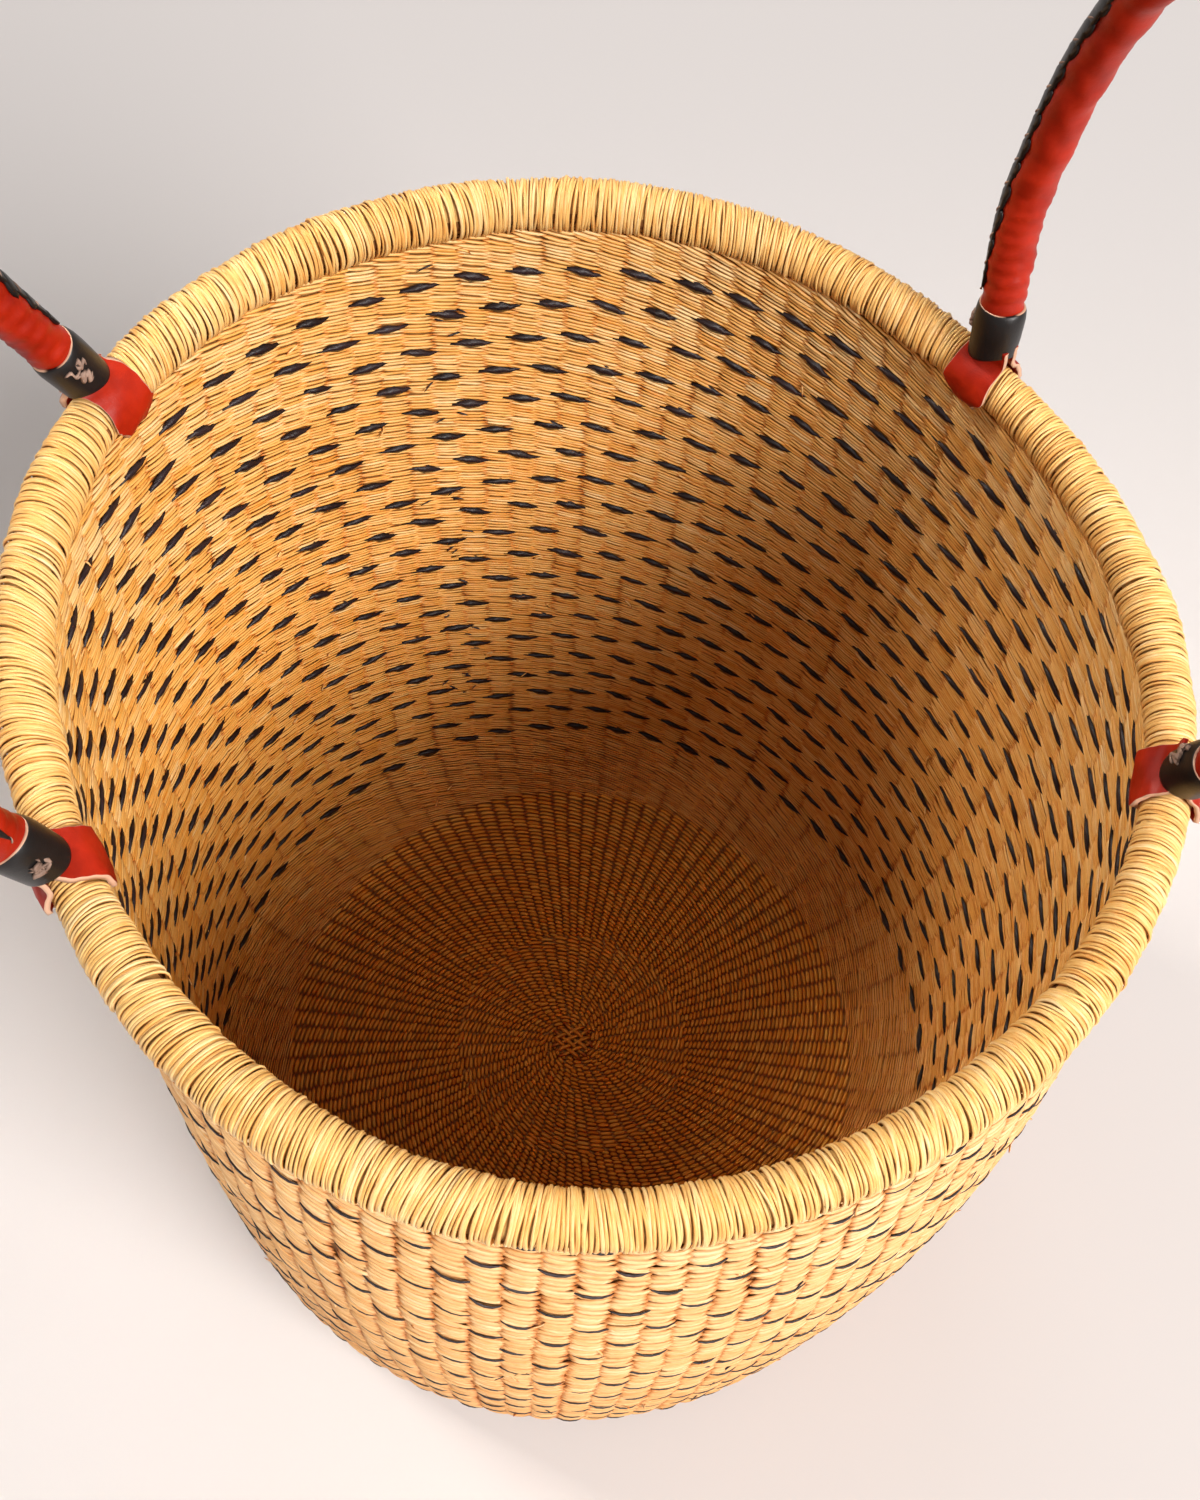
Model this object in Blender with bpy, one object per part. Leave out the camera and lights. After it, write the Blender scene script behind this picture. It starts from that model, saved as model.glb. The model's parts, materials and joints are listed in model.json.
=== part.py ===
"""Round woven grass basket with two leather covered hoop handles.

Metres, +Z up. The origin is the middle of the basket's underside.
"""
import math

import bmesh
import bpy
from mathutils import Matrix, Vector

# Rim roll, measured along its centre line
RIM_RADIUS = 0.190
RIM_HEIGHT = 0.399
RIM_ROLL_RADIUS = 0.0092
RIM_CORE_RADIUS = 0.0036

# Hand-made unevenness of the rim, which fades to nothing at the floor
RIM_SHIFT_X = -0.0118
RIM_SHIFT_Y = 0.0116
RIM_TILT_X = -0.0076
RIM_TILT_Y = 0.0154
RIM_SWELL_COSINES = (0.0030, 0.0004, 0.0010)
RIM_SWELL_SINES = (-0.0002, 0.0015, -0.0008)
RIM_RISE_COSINES = (-0.0008, 0.0008, 0.0013)
RIM_RISE_SINES = (-0.0023, 0.0008, -0.0006)

# Hand-made unevenness of the belly, largest at half the rim's height
BELLY_COSINES = (0.0070, 0.0000, 0.0025)
BELLY_SINES = (-0.0003, -0.0010, 0.0023)

# Woven wall, outer radius at four heights, and the rounded foot
WALL_THICKNESS = 0.0057
WALL_TOP_RADIUS = 0.1886
WALL_UPPER_RADIUS = 0.2003
WALL_UPPER_HEIGHT = 0.281
WALL_LOWER_RADIUS = 0.2022
WALL_LOWER_HEIGHT = 0.158
FOOT_TOP_RADIUS = 0.1972
FOOT_CORNER_RADIUS = 0.040

# Crossed stakes at the middle of the floor
CROSS_WIDTH = 0.024
CROSS_HEIGHT = 0.0025
CROSS_BEVEL = 0.0011

# Leather straps that tie the handles round the rim
STRAP_THICKNESS = 0.0020
STRAP_FIT = 0.0009
STRAP_WIDTH = 0.0180
STRAP_TIP_WIDTH = 0.0095
STRAP_TAPER_TOP_DROP = 0.0010
STRAP_TAPER_END_DROP = 0.0062
STRAP_NECK_THICKNESS = 0.009
STRAP_REACH = 0.0150
SLOT_SIDE_CLEARANCE = 0.0010
SLOT_DEPTH_CLEARANCE = 0.0006

# Hoop handles: arch centre line above the axis through the two straps
HANDLE_TOP = 0.240
ARCH_SPRING_HEIGHT = 0.105
LEG_FLARE_HEIGHT = 0.080
RIGHT_HALF_WIDTH = 0.107
LEFT_HALF_WIDTH = 0.083
HANDLE_RADIUS = 0.0083
HANDLE_SKIN = 0.0022
CUFF_THICKNESS = 0.0012
CUFF_TOP = 0.033
LACING_WIDTH = 0.0085
LACING_NARROW_WIDTH = 0.0058
LACING_THICKNESS = 0.0012
LACING_LOBE_LENGTH = 0.011
KNOT_RADIUS = 0.0040
KNOT_TIP_RADIUS = 0.0022
KNOT_THICKNESS = 0.0018
KNOT_HEIGHT = 0.0245
KNOT_TURN = 45.0

# Running and seating gaps
SEAT_GAP = 0.0003
CUT_OVERRUN = 0.004

# Where the straps sit on the rim and how far each handle leans out, degrees
RIGHT_STRAP_ANGLES = (-6.0, 48.5)
LEFT_STRAP_ANGLES = (162.0, 215.0)
RIGHT_LEAN = 0.0
LEFT_LEAN = 22.0

# Resolution counts
RING_STEPS = 72
WALL_STEPS = 7
FOOT_STEPS = 5
ROLL_STEPS = 12
CORE_SIDES = 10
ARCH_LEG_STEPS = 7
ARCH_TOP_STEPS = 18
HANDLE_SIDES = 14
STRAP_STEPS = 20

RIM_UNDERSIDE = RIM_HEIGHT - RIM_ROLL_RADIUS
FLOOR_RADIUS = FOOT_TOP_RADIUS - FOOT_CORNER_RADIUS
SADDLE_RADIUS = STRAP_REACH + SEAT_GAP
STRAP_INNER_RADIUS = RIM_ROLL_RADIUS + STRAP_FIT
STRAP_OUTER_RADIUS = STRAP_INNER_RADIUS + STRAP_THICKNESS

STRAW = ("grass_straw", (0.66, 0.43, 0.17), 0.6)
PALE_STRAW = ("grass_core", (0.58, 0.42, 0.20), 0.8)
RED_LEATHER = ("red_leather", (0.50, 0.035, 0.012), 0.45)
BLACK_LEATHER = ("black_leather", (0.018, 0.016, 0.016), 0.5)
TAN_LEATHER = ("tan_leather", (0.50, 0.30, 0.20), 0.7)


def clear_scene():
    """Remove every object that the file opened with."""
    for item in list(bpy.data.objects):
        bpy.data.objects.remove(item, do_unlink=True)


def material(finish):
    """Return the Principled material of one finish, made once."""
    name, colour, roughness = finish
    found = bpy.data.materials.get(name)
    if found:
        return found
    made = bpy.data.materials.new(name)
    made.use_nodes = True
    shader = made.node_tree.nodes["Principled BSDF"]
    shader.inputs["Base Color"].default_value = (*colour, 1.0)
    shader.inputs["Roughness"].default_value = roughness
    shader.inputs["Metallic"].default_value = 0.0
    return made


def add_object(name, bm, finish, parent=None, crease=40.0):
    """Turn a bmesh into a named, shaded object under its parent."""
    bmesh.ops.recalc_face_normals(bm, faces=bm.faces)
    mesh = bpy.data.meshes.new(name)
    bm.to_mesh(mesh)
    bm.free()
    mesh.shade_smooth()
    mesh.set_sharp_from_angle(angle=math.radians(crease))
    item = bpy.data.objects.new(name, mesh)
    bpy.context.scene.collection.objects.link(item)
    if finish:
        mesh.materials.append(material(finish))
    if parent:
        item.parent = parent
    return item


def add_cutter(name, bm, parent=None):
    """Add a helper solid that only shapes other objects."""
    cutter = add_object(name, bm, None, parent)
    cutter.hide_render = True
    cutter.display_type = "WIRE"
    return cutter


def add_empty(name, matrix):
    """Add a plain axes empty at a world matrix."""
    empty = bpy.data.objects.new(name, None)
    empty.empty_display_size = RIM_ROLL_RADIUS
    bpy.context.scene.collection.objects.link(empty)
    empty.matrix_world = matrix
    return empty


def combine(item, cutter, operation):
    """Add a Boolean modifier with the exact solver."""
    step = item.modifiers.new(operation.lower(), "BOOLEAN")
    step.operation = operation
    step.solver = "EXACT"
    step.object = cutter


def bevel(item, width, segments=1):
    """Round an object's sharp edges."""
    step = item.modifiers.new("bevel", "BEVEL")
    step.width = width
    step.segments = segments
    step.limit_method = "ANGLE"
    step.angle_limit = math.radians(35.0)


def waves(turn, cosines, sines, first=2):
    """Sum the waves that go `first` times round the basket and more."""
    total = 0.0
    for count, (cosine, sine) in enumerate(zip(cosines, sines), start=first):
        total += cosine * math.cos(count * turn) + sine * math.sin(count * turn)
    return total


def handmade(point):
    """Shift, tilt and unround a point of the perfect basket to its real place."""
    share = point.z / RIM_HEIGHT
    turn = math.atan2(point.y, point.x)
    radius = math.hypot(point.x, point.y)
    reach_share = share * radius / RIM_RADIUS
    belly_share = max(1.0 - share, 0.0) * reach_share * 4.0
    radius += reach_share * waves(turn, RIM_SWELL_COSINES, RIM_SWELL_SINES)
    radius += belly_share * waves(turn, BELLY_COSINES, BELLY_SINES, first=1)
    tilt = RIM_TILT_X * math.cos(turn) + RIM_TILT_Y * math.sin(turn)
    rise = share * waves(turn, RIM_RISE_COSINES, RIM_RISE_SINES)
    return Vector((
        radius * math.cos(turn) + share * RIM_SHIFT_X,
        radius * math.sin(turn) + share * RIM_SHIFT_Y,
        point.z + reach_share * (tilt + rise),
    ))


def make_handmade(bm):
    """Take a mesh of the perfect basket to its real shape."""
    for vert in bm.verts:
        vert.co = handmade(vert.co)
    return bm


def rim_point(degrees):
    """Return the rim roll's centre at one angle round the basket."""
    turn = math.radians(degrees)
    perfect = Vector((RIM_RADIUS * math.cos(turn), RIM_RADIUS * math.sin(turn), RIM_HEIGHT))
    return handmade(perfect)


def frame_matrix(place, across, along, up):
    """Return a matrix from its place and three unit directions."""
    turned = Matrix((across, along, up)).transposed().to_4x4()
    return Matrix.Translation(place) @ turned


def wall_outer_radius(height):
    """Return the wall's outer radius: upright in the rim, a cubic curve below it."""
    heights = (RIM_UNDERSIDE, WALL_UPPER_HEIGHT, WALL_LOWER_HEIGHT, FOOT_CORNER_RADIUS)
    radii = (WALL_TOP_RADIUS, WALL_UPPER_RADIUS, WALL_LOWER_RADIUS, FOOT_TOP_RADIUS)
    here = min(height, RIM_UNDERSIDE)
    total = 0.0
    for place, (knot, radius) in enumerate(zip(heights, radii)):
        weight = 1.0
        for other_place, other in enumerate(heights):
            if other_place != place:
                weight *= (here - other) / (knot - other)
        total += weight * radius
    return total


def spin_outline(outline):
    """Spin a closed outline of (radius, height) points round the basket's axis."""
    bm = bmesh.new()
    corners = [bm.verts.new((radius, 0.0, height)) for radius, height in outline]
    edges = [bm.edges.new((a, b)) for a, b in zip(corners, corners[1:] + corners[:1])]
    bmesh.ops.spin(
        bm,
        geom=corners + edges,
        cent=(0.0, 0.0, 0.0),
        axis=(0.0, 0.0, 1.0),
        angle=math.tau,
        steps=RING_STEPS,
        use_merge=True,
    )
    return make_handmade(bm)


def arc(centre, radius, start, stop, steps):
    """Return points of an arc, angles in degrees, both ends included."""
    points = []
    for step in range(steps + 1):
        turn = math.radians(start + (stop - start) * step / steps)
        points.append((centre[0] + radius * math.cos(turn), centre[1] + radius * math.sin(turn)))
    return points


def make_wall():
    """Make the woven wall with its rounded foot and its top edge in the rim."""
    top = RIM_HEIGHT - RIM_CORE_RADIUS - SEAT_GAP
    span = RIM_UNDERSIDE - FOOT_CORNER_RADIUS
    heights = [top] + [RIM_UNDERSIDE - span * step / WALL_STEPS for step in range(WALL_STEPS)]
    outer = [(wall_outer_radius(height), height) for height in heights]
    inner = [(radius - WALL_THICKNESS, height) for radius, height in outer]
    corner = (FLOOR_RADIUS, FOOT_CORNER_RADIUS)
    outer += arc(corner, FOOT_CORNER_RADIUS, 0.0, -90.0, FOOT_STEPS)
    inner += arc(corner, FOOT_CORNER_RADIUS - WALL_THICKNESS, 0.0, -90.0, FOOT_STEPS)
    return add_object("woven_wall", spin_outline(outer + inner[::-1]), STRAW)


def make_floor():
    """Make the flat woven floor inside the wall's foot."""
    edge = FLOOR_RADIUS - SEAT_GAP
    bm = bmesh.new()
    bmesh.ops.create_cone(
        bm,
        cap_ends=True,
        cap_tris=True,
        segments=RING_STEPS,
        radius1=edge,
        radius2=edge,
        depth=WALL_THICKNESS,
        matrix=Matrix.Translation((0.0, 0.0, WALL_THICKNESS / 2.0)),
    )
    return add_object("woven_floor", make_handmade(bm), STRAW)


def make_center_cross():
    """Make the square knot of crossed stakes that the floor starts from."""
    bm = bmesh.new()
    height = WALL_THICKNESS + SEAT_GAP + CROSS_HEIGHT / 2.0
    size = Matrix.Diagonal((CROSS_WIDTH, CROSS_WIDTH, CROSS_HEIGHT, 1.0))
    bmesh.ops.create_cube(bm, size=1.0, matrix=Matrix.Translation((0.0, 0.0, height)) @ size)
    cross = add_object("floor_center_cross", bm, STRAW)
    bevel(cross, CROSS_BEVEL, 2)
    return cross


def ring_outline(radius, steps):
    """Return a circle about the middle of the wall's top edge, inside the rim."""
    middle = WALL_TOP_RADIUS - WALL_THICKNESS / 2.0
    return arc((middle, RIM_HEIGHT), radius, 0.0, 360.0, steps)[:-1]


def make_rim_core():
    """Make the bundle of stake ends inside the rim, right above the wall's top edge."""
    return add_object("rim_core", spin_outline(ring_outline(RIM_CORE_RADIUS, CORE_SIDES)), PALE_STRAW)


def make_rim_wrapping():
    """Make the straw wrapping, open below where the wall's top edge goes in."""
    roll = arc((RIM_RADIUS, RIM_HEIGHT), RIM_ROLL_RADIUS, 0.0, 360.0, ROLL_STEPS)[:-1]
    wrapping = add_object("rim_wrapping", spin_outline(roll), STRAW, crease=50.0)
    bore = spin_outline(ring_outline(RIM_CORE_RADIUS + SEAT_GAP, CORE_SIDES))
    outside = WALL_TOP_RADIUS + SEAT_GAP
    inside = WALL_TOP_RADIUS - WALL_THICKNESS - SEAT_GAP
    below = RIM_UNDERSIDE - CUT_OVERRUN
    mouth = [(inside, below), (outside, below), (outside, RIM_HEIGHT), (inside, RIM_HEIGHT)]
    combine(wrapping, add_cutter("rim_bore", bore), "DIFFERENCE")
    combine(wrapping, add_cutter("rim_mouth", spin_outline(mouth)), "DIFFERENCE")
    return wrapping


def prism(outline, depth, to_world):
    """Extrude an outline in X and Z by a depth centred on Y."""
    bm = bmesh.new()
    corners = [bm.verts.new((x, -depth / 2.0, z)) for x, z in outline]
    face = bm.faces.new(corners)
    grown = bmesh.ops.extrude_face_region(bm, geom=[face])["geom"]
    moved = [item for item in grown if isinstance(item, bmesh.types.BMVert)]
    bmesh.ops.translate(bm, verts=moved, vec=(0.0, depth, 0.0))
    bmesh.ops.transform(bm, matrix=to_world, verts=bm.verts)
    return bm


def rod(radius, length, to_world, sides):
    """Make a round rod along local Z."""
    bm = bmesh.new()
    bmesh.ops.create_cone(
        bm,
        cap_ends=True,
        segments=sides,
        radius1=radius,
        radius2=radius,
        depth=length,
        matrix=to_world,
    )
    return bm


def rim_frame(degrees):
    """Return the perfect rim's local frame: X outwards, Y along the rim, Z up."""
    turn = Matrix.Rotation(math.radians(degrees), 4, "Z")
    return turn @ Matrix.Translation((RIM_RADIUS, 0.0, RIM_HEIGHT))


def strap_side_outline():
    """Return the strap's side view: a ring with a neck that rises to the cuff."""
    half_neck = STRAP_NECK_THICKNESS / 2.0
    edge = math.degrees(math.acos(half_neck / STRAP_OUTER_RADIUS))
    neck_top = STRAP_REACH + CUT_OVERRUN
    outline = [(half_neck, neck_top), (-half_neck, neck_top)]
    outline += arc((0.0, 0.0), STRAP_OUTER_RADIUS, 180.0 - edge, 360.0 + edge, STRAP_STEPS)
    return outline


def strap_front_outline():
    """Return the strap's front view: wide over the rim, narrow through the wall."""
    top = STRAP_REACH + CUT_OVERRUN
    bottom = -STRAP_OUTER_RADIUS - CUT_OVERRUN
    half = STRAP_WIDTH / 2.0
    tip = STRAP_TIP_WIDTH / 2.0
    right = [(half, top), (half, -STRAP_TAPER_TOP_DROP), (tip, -STRAP_TAPER_END_DROP), (tip, bottom)]
    return right + [(-x, z) for x, z in reversed(right)]


def make_strap(name, degrees, wall, reach_cutter):
    """Make one strap round the rim and cut its slot in the wall."""
    place = rim_frame(degrees)
    along_rim = place @ Matrix.Rotation(math.radians(90.0), 4, "X")
    seen_from_inside = place @ Matrix.Rotation(math.radians(90.0), 4, "Z")
    front_depth = 2.0 * (STRAP_OUTER_RADIUS + CUT_OVERRUN)
    slot_radius = STRAP_OUTER_RADIUS + SLOT_DEPTH_CLEARANCE
    slot_width = STRAP_TIP_WIDTH + 2.0 * SLOT_SIDE_CLEARANCE
    band = prism(strap_side_outline(), STRAP_WIDTH, place)
    bore = rod(STRAP_INNER_RADIUS, STRAP_WIDTH + CUT_OVERRUN, along_rim, STRAP_STEPS)
    taper = prism(strap_front_outline(), front_depth, seen_from_inside)
    slot = rod(slot_radius, slot_width, along_rim, STRAP_STEPS)
    strap = add_object(name, make_handmade(band), RED_LEATHER)
    combine(strap, add_cutter(name + "_bore", make_handmade(bore)), "DIFFERENCE")
    combine(strap, add_cutter(name + "_taper", make_handmade(taper)), "INTERSECT")
    combine(strap, reach_cutter, "INTERSECT")
    combine(wall, add_cutter(name + "_slot", make_handmade(slot)), "DIFFERENCE")


def handle_frame(angles, lean):
    """Return the frame of a handle: X along its axis, Y up the arch, and half its span."""
    start = rim_point(angles[0])
    stop = rim_point(angles[1])
    axis = (stop - start).normalized()
    outwards = axis.cross(Vector((0.0, 0.0, 1.0))).normalized()
    upright = outwards.cross(axis)
    tip = math.radians(lean)
    up = upright * math.cos(tip) + outwards * math.sin(tip)
    matrix = frame_matrix((start + stop) / 2.0, axis, up, axis.cross(up))
    return matrix, (stop - start).length / 2.0


def arch_stations(half_span, half_width):
    """Return the arch's centre points in the handle's plane, from end to end."""
    leg = []
    for step in range(ARCH_LEG_STEPS):
        height = ARCH_SPRING_HEIGHT * step / ARCH_LEG_STEPS
        turn = math.pi * min(height / LEG_FLARE_HEIGHT, 1.0)
        flare_share = (1.0 - math.cos(turn)) / 2.0
        leg.append((-half_span + (half_span - half_width) * flare_share, height))
    rise = HANDLE_TOP - ARCH_SPRING_HEIGHT
    top = []
    for step in range(ARCH_TOP_STEPS + 1):
        turn = math.pi * (1.0 - step / ARCH_TOP_STEPS)
        top.append((half_width * math.cos(turn), ARCH_SPRING_HEIGHT + rise * math.sin(turn)))
    other_leg = [(-across, height) for across, height in reversed(leg)]
    return [Vector((across, height, 0.0)) for across, height in leg + top + other_leg]


def arch_frames(points):
    """Return a frame at each arch point: X away from the arch, Z along it."""
    frames = []
    last = len(points) - 1
    for place, point in enumerate(points):
        before = points[max(place - 1, 0)]
        after = points[min(place + 1, last)]
        along = (after - before).normalized()
        normal = Vector((0.0, 0.0, 1.0))
        frames.append(frame_matrix(point, normal.cross(along), normal, along))
    return frames


def point_at(points, length):
    """Return the point at one length along a path."""
    walked = 0.0
    for here, there in zip(points, points[1:]):
        step = (there - here).length
        if length <= walked + step:
            return here.lerp(there, (length - walked) / step)
        walked += step
    return points[-1].copy()


def cut_path(points, start, stop):
    """Return the stretch of a path between two lengths along it."""
    kept = [point_at(points, start)]
    walked = 0.0
    for here, there in zip(points, points[1:]):
        walked += (there - here).length
        if start < walked < stop:
            kept.append(there)
    return kept + [point_at(points, stop)]


def path_length(points):
    """Return the length of a path."""
    return sum((b - a).length for a, b in zip(points, points[1:]))


def new_verts(result):
    """Return the vertices among the geometry that an extrusion made."""
    return [item for item in result["geom"] if isinstance(item, bmesh.types.BMVert)]


def sweep_tube(points, radius, bore_radius, sides):
    """Sweep a disc, or a ring with a bore, along a path as one closed body."""
    frames = arch_frames(points)
    bm = bmesh.new()
    bmesh.ops.create_circle(bm, cap_ends=not bore_radius, radius=radius, segments=sides)
    if bore_radius:
        inner = new_verts(bmesh.ops.extrude_edge_only(bm, edges=bm.edges))
        share = bore_radius / radius
        bmesh.ops.scale(bm, verts=inner, vec=(share, share, 1.0))
    bmesh.ops.transform(bm, matrix=frames[0], verts=bm.verts)
    end = list(bm.faces)
    for place in range(1, len(frames)):
        grown = bmesh.ops.extrude_face_region(bm, geom=end)
        if place > 1:
            bmesh.ops.delete(bm, geom=end, context="FACES_ONLY")
        end = [item for item in grown["geom"] if isinstance(item, bmesh.types.BMFace)]
        step = frames[place] @ frames[place - 1].inverted()
        bmesh.ops.transform(bm, matrix=step, verts=new_verts(grown))
    return bm


def make_lacing(name, points, parent):
    """Make the scalloped leather lacing down the side that faces the basket."""
    start = CUFF_TOP + SEAT_GAP
    length = path_length(points) - 2.0 * start
    steps = 2 * round(length / LACING_LOBE_LENGTH)
    path = [point_at(points, start + length * step / steps) for step in range(steps + 1)]
    frames = arch_frames(path)
    seat = HANDLE_RADIUS + SEAT_GAP
    bm = bmesh.new()
    bmesh.ops.create_grid(bm, x_segments=steps, y_segments=2, size=1.0)
    for vert in bm.verts:
        place = round((vert.co.x + 1.0) / 2.0 * steps)
        width = LACING_WIDTH if place % 2 else LACING_NARROW_WIDTH
        turn = vert.co.y * width / 2.0 / seat
        vert.co = frames[place] @ Vector((seat * math.sin(turn), -seat * math.cos(turn), 0.0))
    lacing = add_object(name, bm, BLACK_LEATHER, parent)
    thicken = lacing.modifiers.new("thickness", "SOLIDIFY")
    thicken.thickness = LACING_THICKNESS
    thicken.offset = 1.0
    return lacing


def make_knot(name, points, length_along, parent):
    """Make the small leather knot on a cuff, where the handle faces into the basket."""
    here = point_at(points, length_along)
    ahead = point_at(points, length_along + KNOT_RADIUS)
    along = (ahead - here).normalized()
    plane = Vector((0.0, 0.0, 1.0))
    outwards = plane.cross(along)
    if here.x * outwards.x < 0.0:
        outwards.negate()
    turn = math.radians(KNOT_TURN)
    facing = -plane * math.cos(turn) - outwards * math.sin(turn)
    cuff_radius = HANDLE_RADIUS + SEAT_GAP + CUFF_THICKNESS
    middle = here + facing * (cuff_radius + SEAT_GAP + KNOT_THICKNESS / 2.0)
    bm = bmesh.new()
    bmesh.ops.create_cone(
        bm,
        cap_ends=True,
        segments=HANDLE_SIDES,
        radius1=KNOT_RADIUS,
        radius2=KNOT_TIP_RADIUS,
        depth=KNOT_THICKNESS,
        matrix=frame_matrix(middle, along, facing.cross(along), facing),
    )
    return add_object(name, bm, TAN_LEATHER, parent)


def make_handle(side, angles, lean, half_width, ends, wall):
    """Make one hoop handle with its cuffs, and the two straps that hold it."""
    matrix, half_span = handle_frame(angles, lean)
    pivot = add_empty(side + "_handle_axis", matrix)
    points = arch_stations(half_span, half_width)
    length = path_length(points)
    along_axis = Matrix.Rotation(math.radians(90.0), 4, "Y")
    axis_length = 2.0 * (half_span + STRAP_WIDTH)
    cutters = []
    for use, radius in (("saddle", SADDLE_RADIUS), ("reach", STRAP_REACH)):
        body = rod(radius, axis_length, along_axis, 2 * STRAP_STEPS)
        cutters.append(add_cutter(side + "_" + use + "_cutter", body, pivot))
    saddle, reach = cutters
    bore_radius = HANDLE_RADIUS - HANDLE_SKIN
    core_radius = bore_radius - SEAT_GAP
    core = sweep_tube(points, core_radius, 0.0, HANDLE_SIDES)
    cover = sweep_tube(points, HANDLE_RADIUS, bore_radius, HANDLE_SIDES)
    pieces = [
        add_object(side + "_handle_core", core, PALE_STRAW, pivot),
        add_object(side + "_handle_cover", cover, RED_LEATHER, pivot),
    ]
    cuff_bore = HANDLE_RADIUS + SEAT_GAP
    spans = ((0.0, CUFF_TOP), (length - CUFF_TOP, length))
    for end, (start, stop) in zip(ends, spans):
        path = cut_path(points, start, stop)
        cuff = sweep_tube(path, cuff_bore + CUFF_THICKNESS, cuff_bore, HANDLE_SIDES)
        pieces.append(add_object(side + "_" + end + "_cuff", cuff, BLACK_LEATHER, pivot))
    for piece in pieces:
        combine(piece, saddle, "DIFFERENCE")
    make_lacing(side + "_handle_lacing", points, pivot)
    for end, place in zip(ends, (KNOT_HEIGHT, length - KNOT_HEIGHT)):
        make_knot(side + "_" + end + "_knot", points, place, pivot)
    for end, degrees in zip(ends, angles):
        make_strap(side + "_" + end + "_strap", degrees, wall, reach)


def main():
    """Build the whole basket."""
    clear_scene()
    wall = make_wall()
    make_floor()
    make_center_cross()
    make_rim_core()
    make_rim_wrapping()
    make_handle(
        "right", RIGHT_STRAP_ANGLES, RIGHT_LEAN, RIGHT_HALF_WIDTH, ("front", "back"), wall,
    )
    make_handle(
        "left", LEFT_STRAP_ANGLES, LEFT_LEAN, LEFT_HALF_WIDTH, ("back", "front"), wall,
    )


main()
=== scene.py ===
import json
import math

import bpy
import numpy as np
from mathutils import Matrix, Vector


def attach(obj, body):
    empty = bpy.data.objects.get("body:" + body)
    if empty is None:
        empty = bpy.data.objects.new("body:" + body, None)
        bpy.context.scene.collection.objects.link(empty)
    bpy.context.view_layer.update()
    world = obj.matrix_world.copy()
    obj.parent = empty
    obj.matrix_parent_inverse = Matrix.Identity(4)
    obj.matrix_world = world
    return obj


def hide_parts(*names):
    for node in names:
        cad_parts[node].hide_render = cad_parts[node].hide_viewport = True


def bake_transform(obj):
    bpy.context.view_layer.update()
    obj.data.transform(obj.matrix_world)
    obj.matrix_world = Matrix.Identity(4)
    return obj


# A round woven basket with two leather handles. All lengths are in metres.

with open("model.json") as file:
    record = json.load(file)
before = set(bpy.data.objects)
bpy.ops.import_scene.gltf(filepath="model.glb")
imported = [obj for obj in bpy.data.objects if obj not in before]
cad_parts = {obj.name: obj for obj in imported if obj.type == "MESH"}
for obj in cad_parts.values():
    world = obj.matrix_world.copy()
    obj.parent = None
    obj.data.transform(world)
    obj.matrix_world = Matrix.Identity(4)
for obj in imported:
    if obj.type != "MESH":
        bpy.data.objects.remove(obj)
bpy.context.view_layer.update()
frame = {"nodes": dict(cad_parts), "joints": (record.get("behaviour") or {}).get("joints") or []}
rng = np.random.default_rng(11)

# The perfect basket and the waves that make it handmade, as in the CAD source
RIM_RADIUS = 0.190
RIM_HEIGHT = 0.399
RIM_ROLL_RADIUS = 0.0092
RIM_SHIFT = (-0.0118, 0.0116)
RIM_TILT = (-0.0076, 0.0154)
SWELL_WAVES = ((0.0030, 0.0004, 0.0010), (-0.0002, 0.0015, -0.0008))
RISE_WAVES = ((-0.0008, 0.0008, 0.0013), (-0.0023, 0.0008, -0.0006))
BELLY_WAVES = ((0.0070, 0.0000, 0.0025), (-0.0003, -0.0010, 0.0023))
WALL_THICKNESS = 0.0057
RIM_UNDERSIDE = RIM_HEIGHT - RIM_ROLL_RADIUS
WALL_HEIGHTS = (RIM_UNDERSIDE, 0.281, 0.158, 0.040)
WALL_RADII = (0.1886, 0.2003, 0.2022, 0.1972)
CORNER_RADIUS = WALL_HEIGHTS[3]
FLOOR_RADIUS = WALL_RADII[3] - CORNER_RADIUS

# Weave of wall, floor and rim
STAKES = 104
DASH_EVERY = 5
FIRST_ROW = 0.0076
DASH_PITCH = 0.0184
DASH_PITCH_GAIN = 0.093
DASH_ROWS = 20
FLOOR_ROW_PITCH = 0.00235
CENTRE_HOLE = 0.0098
FLOOR_STAKES = ((16, 0.016), (32, 0.028), (52, 0.062))
FOOT_CLEARANCE = 0.0002
CORE_HALF_THICKNESS = 0.0010
LEAST_RADIUS = 0.004
STITCH_PLACES = np.array([-1.0, -0.78, -0.42, 0.0, 0.42, 0.78, 1.0])
SPLICE_TURN = math.radians(118)
RIM_TURNS = 930
RIM_STRAW_HALF_WIDTH = 0.00080
RIM_BUNDLE_DEPTHS = (0.0017, 0.0033)
PRESSED_DEPTH = 0.0008
PRESSED_ANGLE = 0.11
PLAIT_ANGLE = math.radians(32)
PLAIT_PITCH = 0.0034
PLAIT_REACH = 0.0142
PLAIT_HALF_WIDTH = 0.00118

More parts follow.
